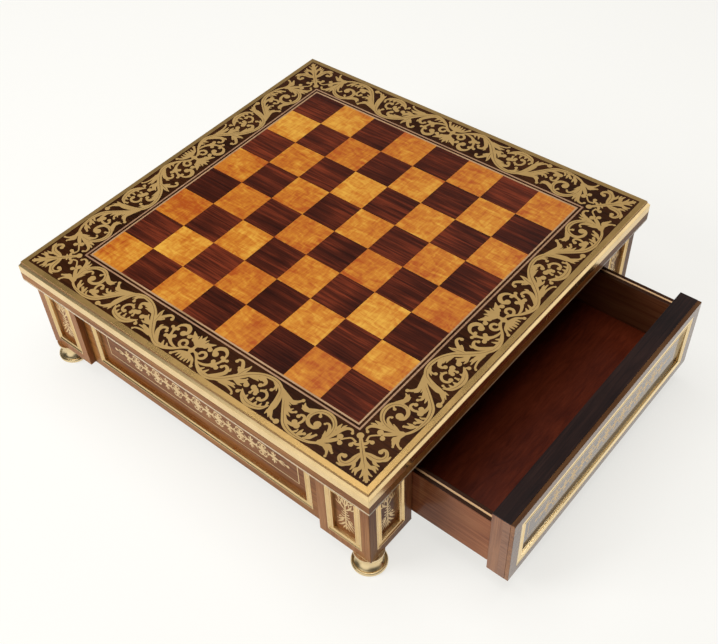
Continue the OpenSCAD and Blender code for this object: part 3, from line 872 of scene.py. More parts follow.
# Half of one side of the border: the first number runs along the side from the border's outer corner to the
# middle at BORDER_MIDDLE, and the second inwards from its outer edge.
BORDER_MIDDLE = 225.0
BORDER_HALF = (
    # Tendril and berries by the corner flower
    Stroke([(36, 30), (41.5, 31.2), (45.3, 28), (48.5, 24)], [2.2, 1.7, 1.7, 1.8]),
    Stroke([(49, 24), (50.7, 26.4)], [2.6, 2.8], ball=2.9),
    Stroke([(49, 23), (46.6, 20.8)], [2.6, 2.4], ball=2.4),
    Stroke([(50, 23.4), (54.6, 17.6), (58.8, 12.8), (62.6, 9)], [3.6, 4.2, 3.2, 2.0]),
    # Leaf that climbs from the first joint and curls over the berries
    Stroke([(62.6, 10), (59.0, 16.5), (56.4, 24.5), (54.4, 32), (51, 37), (46.6, 38.2), (44.4, 35.6)],
           [2.6, 3.0, 3.2, 4.4, 4.0, 2.6, 1.8], ball=1.5),
    Stroke([(55.5, 28), (57.6, 33), (57.8, 38)], [2.4, 3.6, 0.8]),
    Stroke([(56, 24), (59, 28), (59.4, 33)], [2.0, 3.0, 0.8]),
    Stroke([(54, 32), (54.6, 36), (53.4, 39.4)], [2.0, 2.6, 0.8]),
    # First volute, with its eye
    Stroke([(62.8, 9), (60, 15.5), (58.9, 24), (61.6, 32.4), (67.4, 37.4), (74.6, 39), (81.6, 36.8),
            (85.6, 30.6), (85.4, 24), (81, 19.6), (75, 19.2), (71.8, 22.6)],
           [2.0, 3.4, 3.6, 3.6, 4.2, 4.8, 4.8, 4.2, 4.0, 3.8, 3.4, 3.0], vein=True),
    Stroke([(71.9, 22.4), (74.6, 24)], [3.0, 3.6], ball=3.7),
    Stroke([(82, 36.5), (79.6, 34.6), (78.2, 32.4)], [1.6, 2.0, 1.8], ball=1.7),
    Stroke([(60.2, 16), (61.6, 23.6), (65, 29.6), (68.4, 30.4), (69.6, 28.6)], [1.6, 3.6, 3.4, 2.4, 1.8],
           ball=1.3),
    Stroke([(61, 13.5), (62.4, 18.5), (64.6, 23)], [1.6, 2.8, 0.8]),
    # Leaf on the first volute's shoulder
    Stroke([(80, 38.4), (85.6, 34.4), (91, 31.2), (96, 32.4), (98.6, 36)], [2.0, 4.6, 5.2, 3.8, 0.8]),
    Stroke([(90, 31.5), (95.4, 30.4), (99.2, 32.6)], [3.0, 3.4, 0.8]),
    Stroke([(88, 32), (93, 29.2), (97.6, 29.4)], [2.0, 2.6, 0.8]),
    # Foot leaves left of the first joint
    Stroke([(63, 8), (57, 10.2), (51, 11.2), (45, 8.4)], [2.2, 4.0, 4.6, 1.6], ball=1.2),
    Stroke([(56, 9.8), (51, 8.2), (48.2, 4.6), (47.6, 2.2)], [2.6, 3.4, 2.4, 1.8], ball=1.4),
    Stroke([(56, 10.8), (52.4, 13.4), (49.4, 13.2)], [1.6, 2.6, 0.8]),
    # Low stem from the first joint to the arch
    Stroke([(60.6, 9.4), (68.6, 4.6), (78.6, 2.6), (88.6, 2.8), (98.2, 6.4), (105.2, 13.4), (111, 20.6),
            (116.4, 27.4), (123, 33.4), (130, 37)], [2.6, 2.6, 3.2, 4.4, 5.2, 4.4, 4.2, 4.2, 3.8, 2.0],
           vein=True),
    # Leaves inside the first scroll, on the low stem
    Stroke([(75.6, 4.4), (70.8, 9), (68, 14.4)], [1.4, 3.8, 2.0], ball=1.3),
    Stroke([(74, 5.5), (73, 10), (72.6, 14.2)], [1.2, 3.2, 0.8]),
    Stroke([(82.4, 4), (79.2, 7), (76.9, 9)], [1.8, 3.0, 2.2], ball=1.7),
    Stroke([(82, 4.4), (81, 8.4), (80.6, 12.2)], [1.8, 3.2, 0.8]),
    Stroke([(87, 4), (84.4, 7.2), (84.6, 9.8)], [1.6, 2.4, 0.8]),
    # Berry cluster and tendril inside the first scroll
    Stroke([(107.6, 17.8), (100.6, 10.8), (93.4, 9.8), (88, 11.4)], [1.2, 3.0, 3.2, 4.0], ball=3.0),
    Stroke([(90.6, 11), (92.4, 13.8)], [3.4, 3.2], ball=2.7),
    Stroke([(89, 13), (87.2, 18.6), (88.8, 23.2), (92.4, 23.2), (93.6, 20.6)], [2.4, 2.6, 2.8, 2.6, 2.2],
           ball=2.1),
    # Leaves left of the arch
    Stroke([(112.6, 25.8), (106.2, 21.4), (101.6, 20.2), (98.6, 22.6)], [1.6, 3.6, 3.0, 1.8], ball=1.5),
    Stroke([(109.6, 20.6), (104.4, 17), (99.4, 15.6)], [1.6, 3.4, 0.8]),
    Stroke([(104.8, 21), (102.4, 24.4)], [2.4, 0.8]),
    Stroke([(126, 36), (117.6, 32), (110, 29.6), (105.2, 32), (101.8, 36.6)], [1.6, 3.6, 4.8, 3.6, 2.0],
           ball=1.9),
    Stroke([(112, 29.6), (107, 28.4), (103.4, 30.4)], [2.6, 3.0, 0.8]),
    Stroke([(118, 31.4), (112, 26.8), (107, 25.6)], [2.0, 2.8, 0.8]),
    # Arch: up its thick limb, over, and down to the foot by the middle
    Stroke([(118.6, 6), (119, 15.4), (121.6, 25.4), (126, 33.6), (133.6, 38), (142.4, 38.6), (151.6, 36),
            (160, 30.2), (166.4, 22.8), (172.6, 15.4), (179.4, 8.8), (188.6, 3.4), (198.8, 3.2),
            (208.6, 7.6), (215.4, 13.8), (220.6, 17.2), (225, 17.6)],
           [3.0, 6.6, 6.0, 4.6, 4.6, 4.4, 4.2, 5.0, 6.4, 6.4, 5.0, 4.4, 5.4, 4.4, 2.6, 2.2, 2.2],
           vein=True),
    # Ends of the thick limb
    Stroke([(118.6, 13), (114.8, 7.4), (111, 3.8), (105.6, 4)], [2.6, 3.0, 2.2, 2.4], ball=2.9),
    Stroke([(119, 10), (116.4, 5.8), (114.2, 3)], [2.6, 2.4, 0.8]),
    Stroke([(119.8, 9), (119.6, 4)], [3.0, 0.8]),
    # Hooks under the arch
    Stroke([(137, 37), (131.4, 33.6), (128.6, 29.8)], [1.8, 2.6, 0.8]),
    Stroke([(133, 35), (131.6, 30.4), (132.8, 28.2)], [1.4, 2.0, 1.8], ball=1.9),
    Stroke([(152.4, 35.2), (147, 33.4), (142.4, 31.2), (142.4, 27.6), (144.4, 26)],
           [2.0, 5.4, 4.2, 3.0, 2.4], ball=2.3),
    Stroke([(160.4, 27.6), (154.4, 29), (149, 28.4)], [1.8, 3.6, 0.8]),
    Stroke([(158, 29), (152.6, 31.4), (147, 30.8)], [2.0, 3.6, 2.0]),
    # Tendril and trefoil under the arch
    Stroke([(140.4, 21), (136, 23.4), (131.6, 21), (130.2, 16.6), (132.2, 12.8), (135, 13)],
           [2.4, 2.8, 2.8, 2.8, 2.8, 2.6], ball=2.3),
    Stroke([(137, 21.6), (136.6, 26)], [2.8, 1.0]),
    Stroke([(140, 17.4), (144, 19), (147.6, 20.4)], [2.6, 5.2, 4.2], ball=2.9),
    Stroke([(142, 19), (141.6, 15.8)], [4.4, 2.6], ball=2.2),
    Stroke([(145.6, 17.6), (146.2, 13.8)], [2.4, 1.8], ball=1.6),
    # Crescent leaf under the arch
    Stroke([(122.4, 13), (127, 6.6), (134.8, 3.6), (143, 3.8), (149.6, 7.6), (154.8, 13)],
           [1.0, 4.4, 5.6, 6.4, 5.0, 0.8], vein=True),
    Stroke([(124, 10), (125.4, 14.6)], [2.6, 1.8], ball=1.4),
    Stroke([(129, 7), (129.6, 11.4)], [3.4, 0.8]),
    Stroke([(134, 6), (134.2, 10.2)], [4.0, 0.8]),
    Stroke([(140, 7), (139.4, 11.2)], [3.4, 1.2], ball=1.0),
    Stroke([(146, 8), (145.6, 11)], [3.4, 0.8]),
    Stroke([(151.6, 10.4), (155, 10.4), (156.4, 8.2)], [1.0, 1.8, 1.8], ball=2.1),
    # Leaves on the falling limb
    Stroke([(171, 17.4), (164, 17.2), (158.6, 20.6), (155, 18.4)], [3.0, 5.6, 4.6, 3.2], ball=2.9),
    Stroke([(161.4, 19), (158.8, 23.8)], [4.2, 1.2], ball=1.0),
    Stroke([(166, 16), (161.6, 14.6), (157.6, 15)], [2.6, 2.8, 0.8]),
    Stroke([(188, 3.6), (178, 7.4), (168.4, 9.8), (160.4, 9.2)], [2.0, 4.2, 4.8, 0.8]),
    Stroke([(172, 8), (166.6, 11.4), (163, 12)], [2.0, 2.8, 0.8]),
    Stroke([(178, 5.4), (168.4, 6.2), (161, 4.6), (158.6, 2.2)], [1.8, 2.2, 2.2, 1.8], ball=1.3),
    Stroke([(169.4, 20.6), (168, 28), (166.2, 34), (166, 38)], [3.0, 5.2, 4.0, 0.8], vein=True),
    Stroke([(168.6, 24), (171.6, 31), (176.6, 37), (181, 36.4), (181.2, 34)], [2.4, 4.0, 3.6, 2.8, 1.8],
           ball=1.9),
    Stroke([(170, 25), (173, 27.4), (174.4, 29.4)], [2.2, 2.4, 1.6], ball=1.3),
    Stroke([(191, 4.6), (185, 9.8), (180.6, 16), (181.6, 21.2), (186, 23), (188, 20)],
           [2.0, 3.6, 4.6, 4.4, 3.0, 2.0], ball=1.9),
    Stroke([(181, 18.6), (178.6, 21.4), (179.6, 24)], [2.6, 2.6, 0.8]),
    # Third scroll: cluster, trefoil and its curl
    Stroke([(212.4, 10.4), (206.4, 10.6), (200.6, 12.8), (196, 16.8)], [1.2, 2.6, 3.2, 4.6], ball=3.6),
    Stroke([(195, 17.4), (191.4, 15.8)], [4.2, 2.8], ball=2.4),
    Stroke([(196, 18), (198.8, 20)], [4.2, 2.8], ball=2.3),
    Stroke([(195, 18.6), (193.4, 22.4), (192.2, 26.8)], [3.2, 2.4, 3.2], ball=2.4),
    Stroke([(192.4, 26.6), (188.8, 28)], [3.2, 2.2], ball=1.9),
    Stroke([(192.4, 27), (195.2, 28.6)], [3.2, 2.2], ball=1.9),
    Stroke([(192.6, 28.6), (194.4, 34.4), (199.8, 37.4), (205, 35), (206.4, 30), (203.4, 27.6)],
           [2.0, 2.8, 4.0, 4.8, 4.4, 4.0], ball=3.3),
    Stroke([(197, 5), (194.8, 10.2)], [3.6, 0.8]),
    Stroke([(202, 6), (199.6, 9.4)], [3.2, 0.8]),
    # Ring beside the palmette
    Stroke([(221.6, 17.6), (217.4, 17.2), (215.4, 14.6), (212, 14.4), (209, 17), (209.2, 20.8),
            (212.4, 22.8), (215.6, 21), (216, 17.8)], [1.8, 2.2, 2.8, 3.0, 3.2, 3.2, 3.2, 3.0, 2.6]),
    # Palmette at the middle
    Stroke([(225, 29), (225, 34), (225, 39)], [3.6, 4.0, 0.8]),
    Stroke([(224.6, 28), (222, 32.4), (220, 36.6)], [2.4, 3.4, 0.8]),
    Stroke([(225, 23.8), (219.6, 28.6), (214.6, 32.8), (210.6, 36.4)], [3.2, 5.4, 4.6, 0.8]),
    Stroke([(218.4, 30), (214, 30.6), (211.2, 28.4)], [3.0, 3.4, 3.0], ball=2.6),
    Stroke([(220.4, 27.4), (216.8, 27.2), (215.4, 29)], [2.2, 2.6, 1.0]),
    Stroke([(219, 30.4), (218.4, 34.4)], [2.6, 0.8]),
    Stroke([(225, 32), (225, 22), (225, 12)], [4.6, 3.4, 4.0]),
    Stroke([(225, 17.6), (225, 17.2)], [4.4, 4.4], ball=3.2),
    Stroke([(225, 12), (225, 7), (225, 2)], [3.6, 4.0, 2.0]),
    Stroke([(224.6, 12), (221.8, 7.6), (221.2, 2.4)], [2.4, 3.2, 1.2]),
    Stroke([(224, 12.4), (218.8, 8.8), (217.4, 3.2)], [2.4, 3.4, 1.2]),
    Stroke([(223.4, 12.4), (216.4, 9.2), (211.6, 2.8)], [2.4, 2.8, 2.2], ball=1.9),
)

# Half of the corner flower, on one side of the diagonal
CORNER_HALF = (
    Stroke([(38, 38), (31, 31), (23, 23), (15, 15), (6, 6)], [3.0, 4.2, 4.6, 5.6, 3.4], vein=True),
    Stroke([(37.4, 37.4), (38, 38)], [3.4, 3.4], ball=3.4),
    Stroke([(31.4, 31.4), (34.4, 28.6), (38, 28), (38.4, 25.2)], [3.4, 3.0, 2.4, 2.0], ball=2.2),
    Stroke([(29, 29), (32, 25.4)], [3.4, 1.0]),
    Stroke([(24.6, 24.6), (26, 18.6), (26.4, 12.4), (29, 7.6), (34, 6.2), (38, 9), (38, 12.6), (35, 13)],
           [3.2, 5.0, 6.4, 5.8, 4.0, 3.4, 3.0, 2.6], ball=2.3, vein=True),
    Stroke([(28, 8), (31.6, 4), (36.4, 3)], [3.6, 3.4, 1.2]),
    Stroke([(25.6, 14), (22.4, 9.4), (22.4, 4.4)], [3.0, 3.4, 0.8]),
    Stroke([(20, 19.4), (17, 12.4), (17.4, 7), (15.4, 2.6)], [3.0, 3.8, 3.6, 1.0]),
    Stroke([(17, 11), (19.6, 7), (19, 3)], [2.4, 2.6, 0.8]),
    Stroke([(14.4, 14), (11.4, 8.6), (10.6, 2.8)], [2.6, 3.2, 1.0]),
    Stroke([(10, 9.6), (6.6, 5.2), (6.2, 2.2)], [2.4, 3.0, 1.0]),
    Stroke([(6, 6), (3.8, 3.8)], [3.0, 2.2], ball=1.5),
)

# Right half of the upright ornament on a post: across from its middle, and up from the ground's middle
POST_HALF = (
    # Stem
    Stroke([(0, -25), (0, -8), (0, 10), (0, 27)], [1.9, 1.7, 1.5, 1.7, 1.2]),
    # Hanging sprays
    Stroke([(0, -5.5), (3.2, -8.2), (6.4, -12.0), (10.6, -13.4)], [1.0, 2.0, 1.9, 0.5]),
    Stroke([(2.8, -8), (3.8, -12), (7.2, -16.4), (9.8, -19.4)], [0.9, 1.8, 1.7, 0.5]),
    Stroke([(0, -12.5), (2.6, -16), (5.0, -19.8), (8.8, -23.4)], [1.0, 2.0, 1.8, 0.5]),
    Stroke([(0, -18), (2.0, -21), (3.8, -25.6)], [1.0, 1.8, 0.5]),
    Stroke([(3.0, -8), (6.2, -6.6), (7.2, -8.6)], [0.9, 1.3, 1.0], ball=1.0),
    # Small pairs at the middle
    Stroke([(0, -2.6), (2.6, -3.6), (5.0, -2.2)], [0.9, 1.9, 0.6]),
    Stroke([(0, 1.2), (2.4, 0.6), (4.6, 2.4)], [0.9, 1.9, 0.6]),
    Stroke([(0, 5), (1.8, 4.8)], [0.9, 1.0], ball=1.1),
    # Rising leaves
    Stroke([(0, 7), (3.6, 10.6), (6.6, 15.4), (7.8, 20)], [1.0, 2.0, 1.9, 0.5]),
    Stroke([(4.6, 12), (8.6, 13.4), (10.6, 17)], [0.9, 1.6, 0.5]),
    Stroke([(5.6, 13.8), (4.4, 17), (4.6, 20)], [0.9, 1.4, 0.5]),
    Stroke([(0, 14), (2.4, 18), (3.2, 23), (6.6, 27.6)], [1.0, 1.9, 1.8, 0.5]),
    Stroke([(2.6, 19.6), (6.2, 20.8), (10, 25.4)], [0.9, 1.8, 0.5]),
    Stroke([(0, 22), (1.8, 25), (2, 28.8)], [0.9, 1.5, 0.5]),
)

# One quarter of a bay of a long panel's running ornament: along from the cross to the bay's middle, and up
RUN_QUARTER = (
    # Cross
    Stroke([(0, 0), (0, 4.5), (0, 9.0)], [2.6, 2.2, 1.4]),
    Stroke([(0, 3.6), (2.0, 4.9), (2.8, 7.0)], [1.2, 1.8, 0.6]),
    Stroke([(0, 1.0), (2.6, 1.1), (5.2, 0)], [1.6, 2.2, 1.6]),
    Stroke([(5.0, 0.2), (7.2, 1.9), (8.8, 4.2)], [1.1, 1.7, 0.6]),
    # Baluster with curled ends at the bay's middle
    Stroke([(14.85, 0), (14.85, 4.0), (14.85, 8.2)], [2.8, 2.5, 2.2]),
    Stroke([(14.85, 7.9), (12.6, 9.0), (10.4, 8.1), (10.1, 6.4)], [1.8, 2.3, 1.7, 1.2], ball=1.05),
    Stroke([(14.85, 3.2), (12.2, 4.2), (11.2, 5.8)], [1.3, 2.0, 0.7]),
    Stroke([(14.85, 0.8), (12.0, 1.6), (9.4, 0.2)], [1.6, 1.9, 1.4]),
)
RUN_HALF_BAY = 14.85
RUN_BAYS = 4
RUN_END = 122.0
PANEL_STRING_IN = (11.1, 14.0)
PANEL_STRING_W = 1.0


def mirrored_x(strokes: Iterable[Stroke]) -> list[Stroke]:
    """Returns the strokes and their mirror images left for right."""
    strokes = list(strokes)
    return strokes + [s.moved(lambda x, y: (-x, y)) for s in strokes]


def mirrored_y(strokes: Iterable[Stroke]) -> list[Stroke]:
    """Returns the strokes and their mirror images top for bottom."""
    strokes = list(strokes)
    return strokes + [s.moved(lambda x, y: (x, -y)) for s in strokes]


def panel_run() -> list[Stroke]:
    """Returns the running ornament of a long panel, mirrored about its middle.

    Each bay is a quarter laid to both sides of its cross. Past the last cross only the cross's own strokes
    are laid, which start within 2 mm of it, and a spray closes the run.
    """
    crosses = [RUN_HALF_BAY * (2 * k + 1) for k in range(RUN_BAYS)]
    bays = []
    for cross in crosses:
        for way in (1, -1):
            last = cross == crosses[-1] and way == 1
            for stroke in RUN_QUARTER:
                if not (last and stroke.path[0][0] > 2):
                    bays.append(stroke.moved(lambda x, y: (cross + way * x, y)))
    ends = [Stroke([(-1, 0), (RUN_END / 2, 0), (RUN_END, 0)], [1.5, 1.2, 1.5, 1.2, 1.5], ball=2.0),
            Stroke([(RUN_END - 12, 0), (RUN_END - 8, 2.2), (RUN_END - 4, 2.6)], [1.2, 1.8, 0.6])]
    return mirrored_x(mirrored_y(bays + ends))


@dataclass
class Marquetry:
    """A flat sheet cut into ground and ornament, both flush, that together fill an outline.

    Attributes:
        outline: The sheet's corners, anticlockwise, in millimetres.
        strokes: The ornament.
        strings: Further ornament, each given by its corners.
    """

    outline: Sequence[Point]
    strokes: Sequence[Stroke]
    strings: Sequence[Sequence[Point]] = ()

    def cut(self) -> tuple[np.ndarray, np.ndarray, np.ndarray]:
        """Cuts the sheet into triangles.

        All outlines are laid over each other, and each triangle between them belongs to the ornament if it
        lies inside a stroke and outside every vein.

        Returns:
            Points, the ground's triangles and the ornament's triangles.
        """
        sheet = np.asarray(self.outline, float)
        metal = [o for s in self.strokes for o in s.outlines()] + [np.asarray(s, float) for s in self.strings]
        veins = [v for s in self.strokes for v in s.veins()]
        shapes = [sheet, *metal, *veins]
        first_vein = 1 + len(metal)
        starts = np.cumsum([0] + [len(s) for s in shapes])
        faces = [list(range(a, b)) for a, b in zip(starts[:-1], starts[1:])]
        corners = [Vector(p) for p in np.vstack(shapes)]
        points, _, triangles, _, _, owners = delaunay_2d_cdt(corners, [], faces, 0, 1e-5)
        ground, ornament = [], []
        for triangle, within in zip(triangles, owners):
            if 0 not in within:
                continue
            bare = max(within) == 0 or max(within) >= first_vein
            (ground if bare else ornament).append(triangle)
        return np.array(points, float), np.array(ground, int), np.array(ornament, int)


def welded(points: np.ndarray, triangles: np.ndarray) -> tuple[np.ndarray, np.ndarray]:
    """Joins points that coincide to a thousandth of their unit, and drops points that no triangle uses."""
    key = np.round(points * 1000).astype(np.int64)
    _, first, back = np.unique(key, axis=0, return_index=True, return_inverse=True)
    triangles = back.reshape(-1)[triangles]
    a, b, c = triangles.T
    good = (a != b) & (b != c) & (c != a)
    used, again = np.unique(triangles[good], return_inverse=True)
    return points[first][used], again.reshape(-1, 3)


def sheet_solid(points: np.ndarray, triangles: np.ndarray, top: float,
                bottom: float) -> tuple[np.ndarray, np.ndarray]:
    """Gives a flat cut sheet its thickness.

    The triangles are laid at both heights, the lower ones turned over, and each edge that only one triangle
    uses gets a wall of two triangles.

    Args:
        points: Rows of x, y.
        triangles: Rows of three point numbers, anticlockwise.
        top: Height of the upper face.
        bottom: Height of the lower face.

    Returns:
        Rows of x, y, z, and triangles.
    """
    n = len(points)
    upper = np.column_stack([points, np.full(n, top)])
    lower = np.column_stack([points, np.full(n, bottom)])
    edges = np.vstack([triangles[:, [0, 1]], triangles[:, [1, 2]], triangles[:, [2, 0]]])
    code = edges[:, 0] * n + edges[:, 1]
    a, b = edges[~np.isin(code, edges[:, 1] * n + edges[:, 0])].T
    walls = np.vstack([np.stack([a, a + n, b + n], 1), np.stack([a, b + n, b], 1)])
    return np.vstack([upper, lower]), np.vstack([triangles, triangles[:, ::-1] + n, walls])


@dataclass(frozen=True)
class PanelPlace:
    """Where a sunk panel lies: its side, and the middle of its face.

    Attributes:
        side: The side that it looks out of.
        along: Distance of its middle along the side, anticlockwise from above.
        out: Distance of its face from the middle of the case.
        up: Height of its middle.
    """

    side: Side
    along: float
    out: float
    up: float

    def points(self, local: np.ndarray) -> np.ndarray:
        """Returns rows of (along, up, outward) from the panel's middle as rows of x, y, z."""
        laid = np.column_stack([self.along + local[:, 0], -(self.out + local[:, 2]), self.up + local[:, 1]])
        return laid @ self.side.turn().T


# ---- Sub-assemblies ----

PANEL_FINISHES = (Finish.FRAME, Finish.GROUND, Finish.PANEL_FRET)


@dataclass
class Board:
    """The playing board: veneers, marquetry border, brass edging and frieze.

    Attributes:
        body: The body that it rides on.
        top: Height of the board's face.
        half: Half the width over the edging.
        border_half: Half the width over the border.
        border_in: Half the width inside the border.
        edge_low: Height of the edging's lower edge.
        veneer: Thickness of the border's marquetry.
        mitre: Half the open joint at each mitre.
        nose: How far the edging's nose leans in.
        lean_at: Places along the nose, from 0 at its foot to 1 at its crest.
        lean_degrees: How far it leans at those places.
        nose_steps: Number of short steps in its section.
        leg_in: How far the edging's leg reaches in behind the nose.
        leg_thick: Thickness of the leg lower down.
        hook_high: Drop from the leg's seat to where it reaches in furthest.
        hook_low: Drop from the leg's seat to where it is thin again.
        step: Drop from the flat band to the nose's crest.
        band_thick: Thickness of the flat band.
        band_ease: Width of the eased edge of the flat band.
        frieze_thick: Thickness of the frieze and of the string under it.
    """

    body: str = "case"
    top: float = from_part(high, "edge_moulding", Axis.Z)
    half: float = from_part(high, "edge_moulding", Axis.X)
    border_half: float = from_part(high, "border_ground", Axis.X)
    border_in: float = from_part(high, "outer_string", Axis.X)
    edge_low: float = from_part(low, "edge_moulding", Axis.Z)
    veneer: float = 0.0012
    mitre: float = 0.00005
    nose: float = 0.0026
    lean_at: tuple[float, ...] = (0.0, 0.12, 1.0)
    lean_degrees: tuple[float, ...] = (6.0, 33.0, 38.0)
    nose_steps: int = 16
    leg_in: float = 0.0041
    leg_thick: float = 0.0022
    hook_high: float = 0.0022
    hook_low: float = 0.0046
    step: float = 0.0021
    band_thick: float = 0.0027
    band_ease: float = 0.0003
    frieze_thick: float = 0.003

    def squares(self) -> None:
        """Dresses the squares and strings of the playing field, and the board under them."""
        dress("light_squares", Finish.LIGHT_SQUARE)
        dress("dark_squares", Finish.DARK_SQUARE)
        dress("inner_string", Finish.STRING)
        dress("outer_string", Finish.OUTER_STRING)
        dress("string_band", Finish.EBONY)
        dress("top_core", Finish.CARCASE)

    def border(self) -> None:
        """Cuts the border: one half side, mirrored and turned onto all eight halves."""
        reach = self.border_half / MM
        wide = (self.border_half - self.border_in) / MM
        outline = [(0, 0), (reach, 0), (reach, wide), (wide, wide)]
        scrolls = [s.moved(lambda x, y: (x * reach / BORDER_MIDDLE, y)) for s in BORDER_HALF]
        mirrored = [s.moved(lambda x, y: (y, x)) for s in CORNER_HALF]
        points, ground, ornament = Marquetry(outline, [*scrolls, *CORNER_HALF, *mirrored]).cut()
        for name, triangles, finish, slot, node in (
                ("border_marquetry_ground", ground, Finish.EBONY, "ebony", "border_ground"),
                ("border_marquetry_brass", ornament, Finish.FRET, "fret_brass", "border_fret")):
            flat, faces = [], []
            for side in Side:
                turn = side.turn()[:2, :2]
                for flip in (1, -1):
                    faces.append(triangles[:, ::flip] + len(points) * len(flat))
                    laid = np.column_stack([flip * (points[:, 0] - reach), points[:, 1] - reach])
                    flat.append(laid @ turn.T)
            ring, joined = welded(np.vstack(flat), np.vstack(faces))
            shell = Shell()
            shell.add(*sheet_solid(ring * MM, joined, self.top, self.top - self.veneer))
            shell.piece(name, self.body, finish, slot, [node])

    def nose_profile(self) -> np.ndarray:
        """The edging's nose, as (distance in from the outer edge, height).

        From the upright face the section turns in tightly, then leans in up to the foot of the band's step.
        It is summed from short steps, each along the lean at that place. Behind it a leg hooks in under the
        band and runs down to the edging's lower edge.
        """
        hair, eased, foot_drop = 0.00005, 0.0003, 0.0004
        lean = np.radians(np.interp(np.linspace(0, 1, self.nose_steps), self.lean_at, self.lean_degrees))
        step = self.nose / np.sin(lean).sum()
        over, rise = np.cumsum(np.sin(lean)) * step, np.cumsum(np.cos(lean)) * step
        crest = self.top - self.step
        face = np.column_stack([over, crest - rise[-1] + rise])
        foot = [0, face[0, 1] - foot_drop]
        seat = self.top - self.band_thick - 4 * hair
        leg = [[self.nose + hair, crest - 2 * hair], [self.nose + hair, seat],
               [self.leg_in, seat - self.hook_high], [self.leg_thick, seat - self.hook_low],
               [self.leg_thick, self.edge_low], [eased, self.edge_low], [0, self.edge_low + eased]]
        return np.vstack([foot, face, leg])[::-1]

    def band_profile(self) -> np.ndarray:
        """The edging's flat band with its eased outer step, as (distance in from the outer edge, height)."""
        start, inner = self.nose + 2 * self.mitre, self.half - self.border_half
        under, ease = self.top - self.band_thick, self.band_ease
        return np.array([[start, under], [start, self.top - ease], [start + ease, self.top],
                         [inner, self.top], [inner, under]])[::-1]

    def run(self, profile: np.ndarray, name: str, finish: Finish, slot: str, node: str, sharp: float) -> None:
        """Runs a section along the four sides, with an open hairline at each mitre.

        Args:
            profile: The section, as (distance in from the outer edge, height).
            name: The piece's name.
            finish: Its finish.
            slot: The record's material slot. It is passed on and not used.
            node: The node that it stands for.
            sharp: Edges that turn by more than this many degrees stay sharp.
        """
        shell = Shell()
        shell.add_square_run(profile, self.half, self.mitre)
        shell.piece(name, self.body, finish, slot, [node], sharp=sharp)

    def edging(self) -> None:
        """Runs the brass edging: its nose, and its flat band in a darker brass that is painted shade."""
        self.run(self.nose_profile(), "brass_nose", Finish.EDGE, "edge_brass", "edge_moulding", 28)
        self.run(self.band_profile(), "brass_band", Finish.BAND, "edge_brass", "edge_moulding", 28)

    def frieze(self) -> None:
        """Eases the lower edge of the frieze under the edging, and of the pale string below it."""
        for name, node, finish, slot, ease in (
                ("frieze_moulding", "frieze_band", Finish.ROSEWOOD_X, "rosewood", 0.0005),
                ("frieze_pale_string", "frieze_string", Finish.FRIEZE_STRING, "pale_string", 0.0006)):
            under, over = low(node)[2], high(node)[2]
            profile = np.array([[0, under + ease], [ease, under], [self.frieze_thick, under],
                                [self.frieze_thick, over], [0, over]])
            self.run(profile, name, finish, slot, node, 32)

    def build(self) -> None:
        """Builds and dresses the whole board."""
        self.squares()
        self.border()
        self.edging()
        self.frieze()


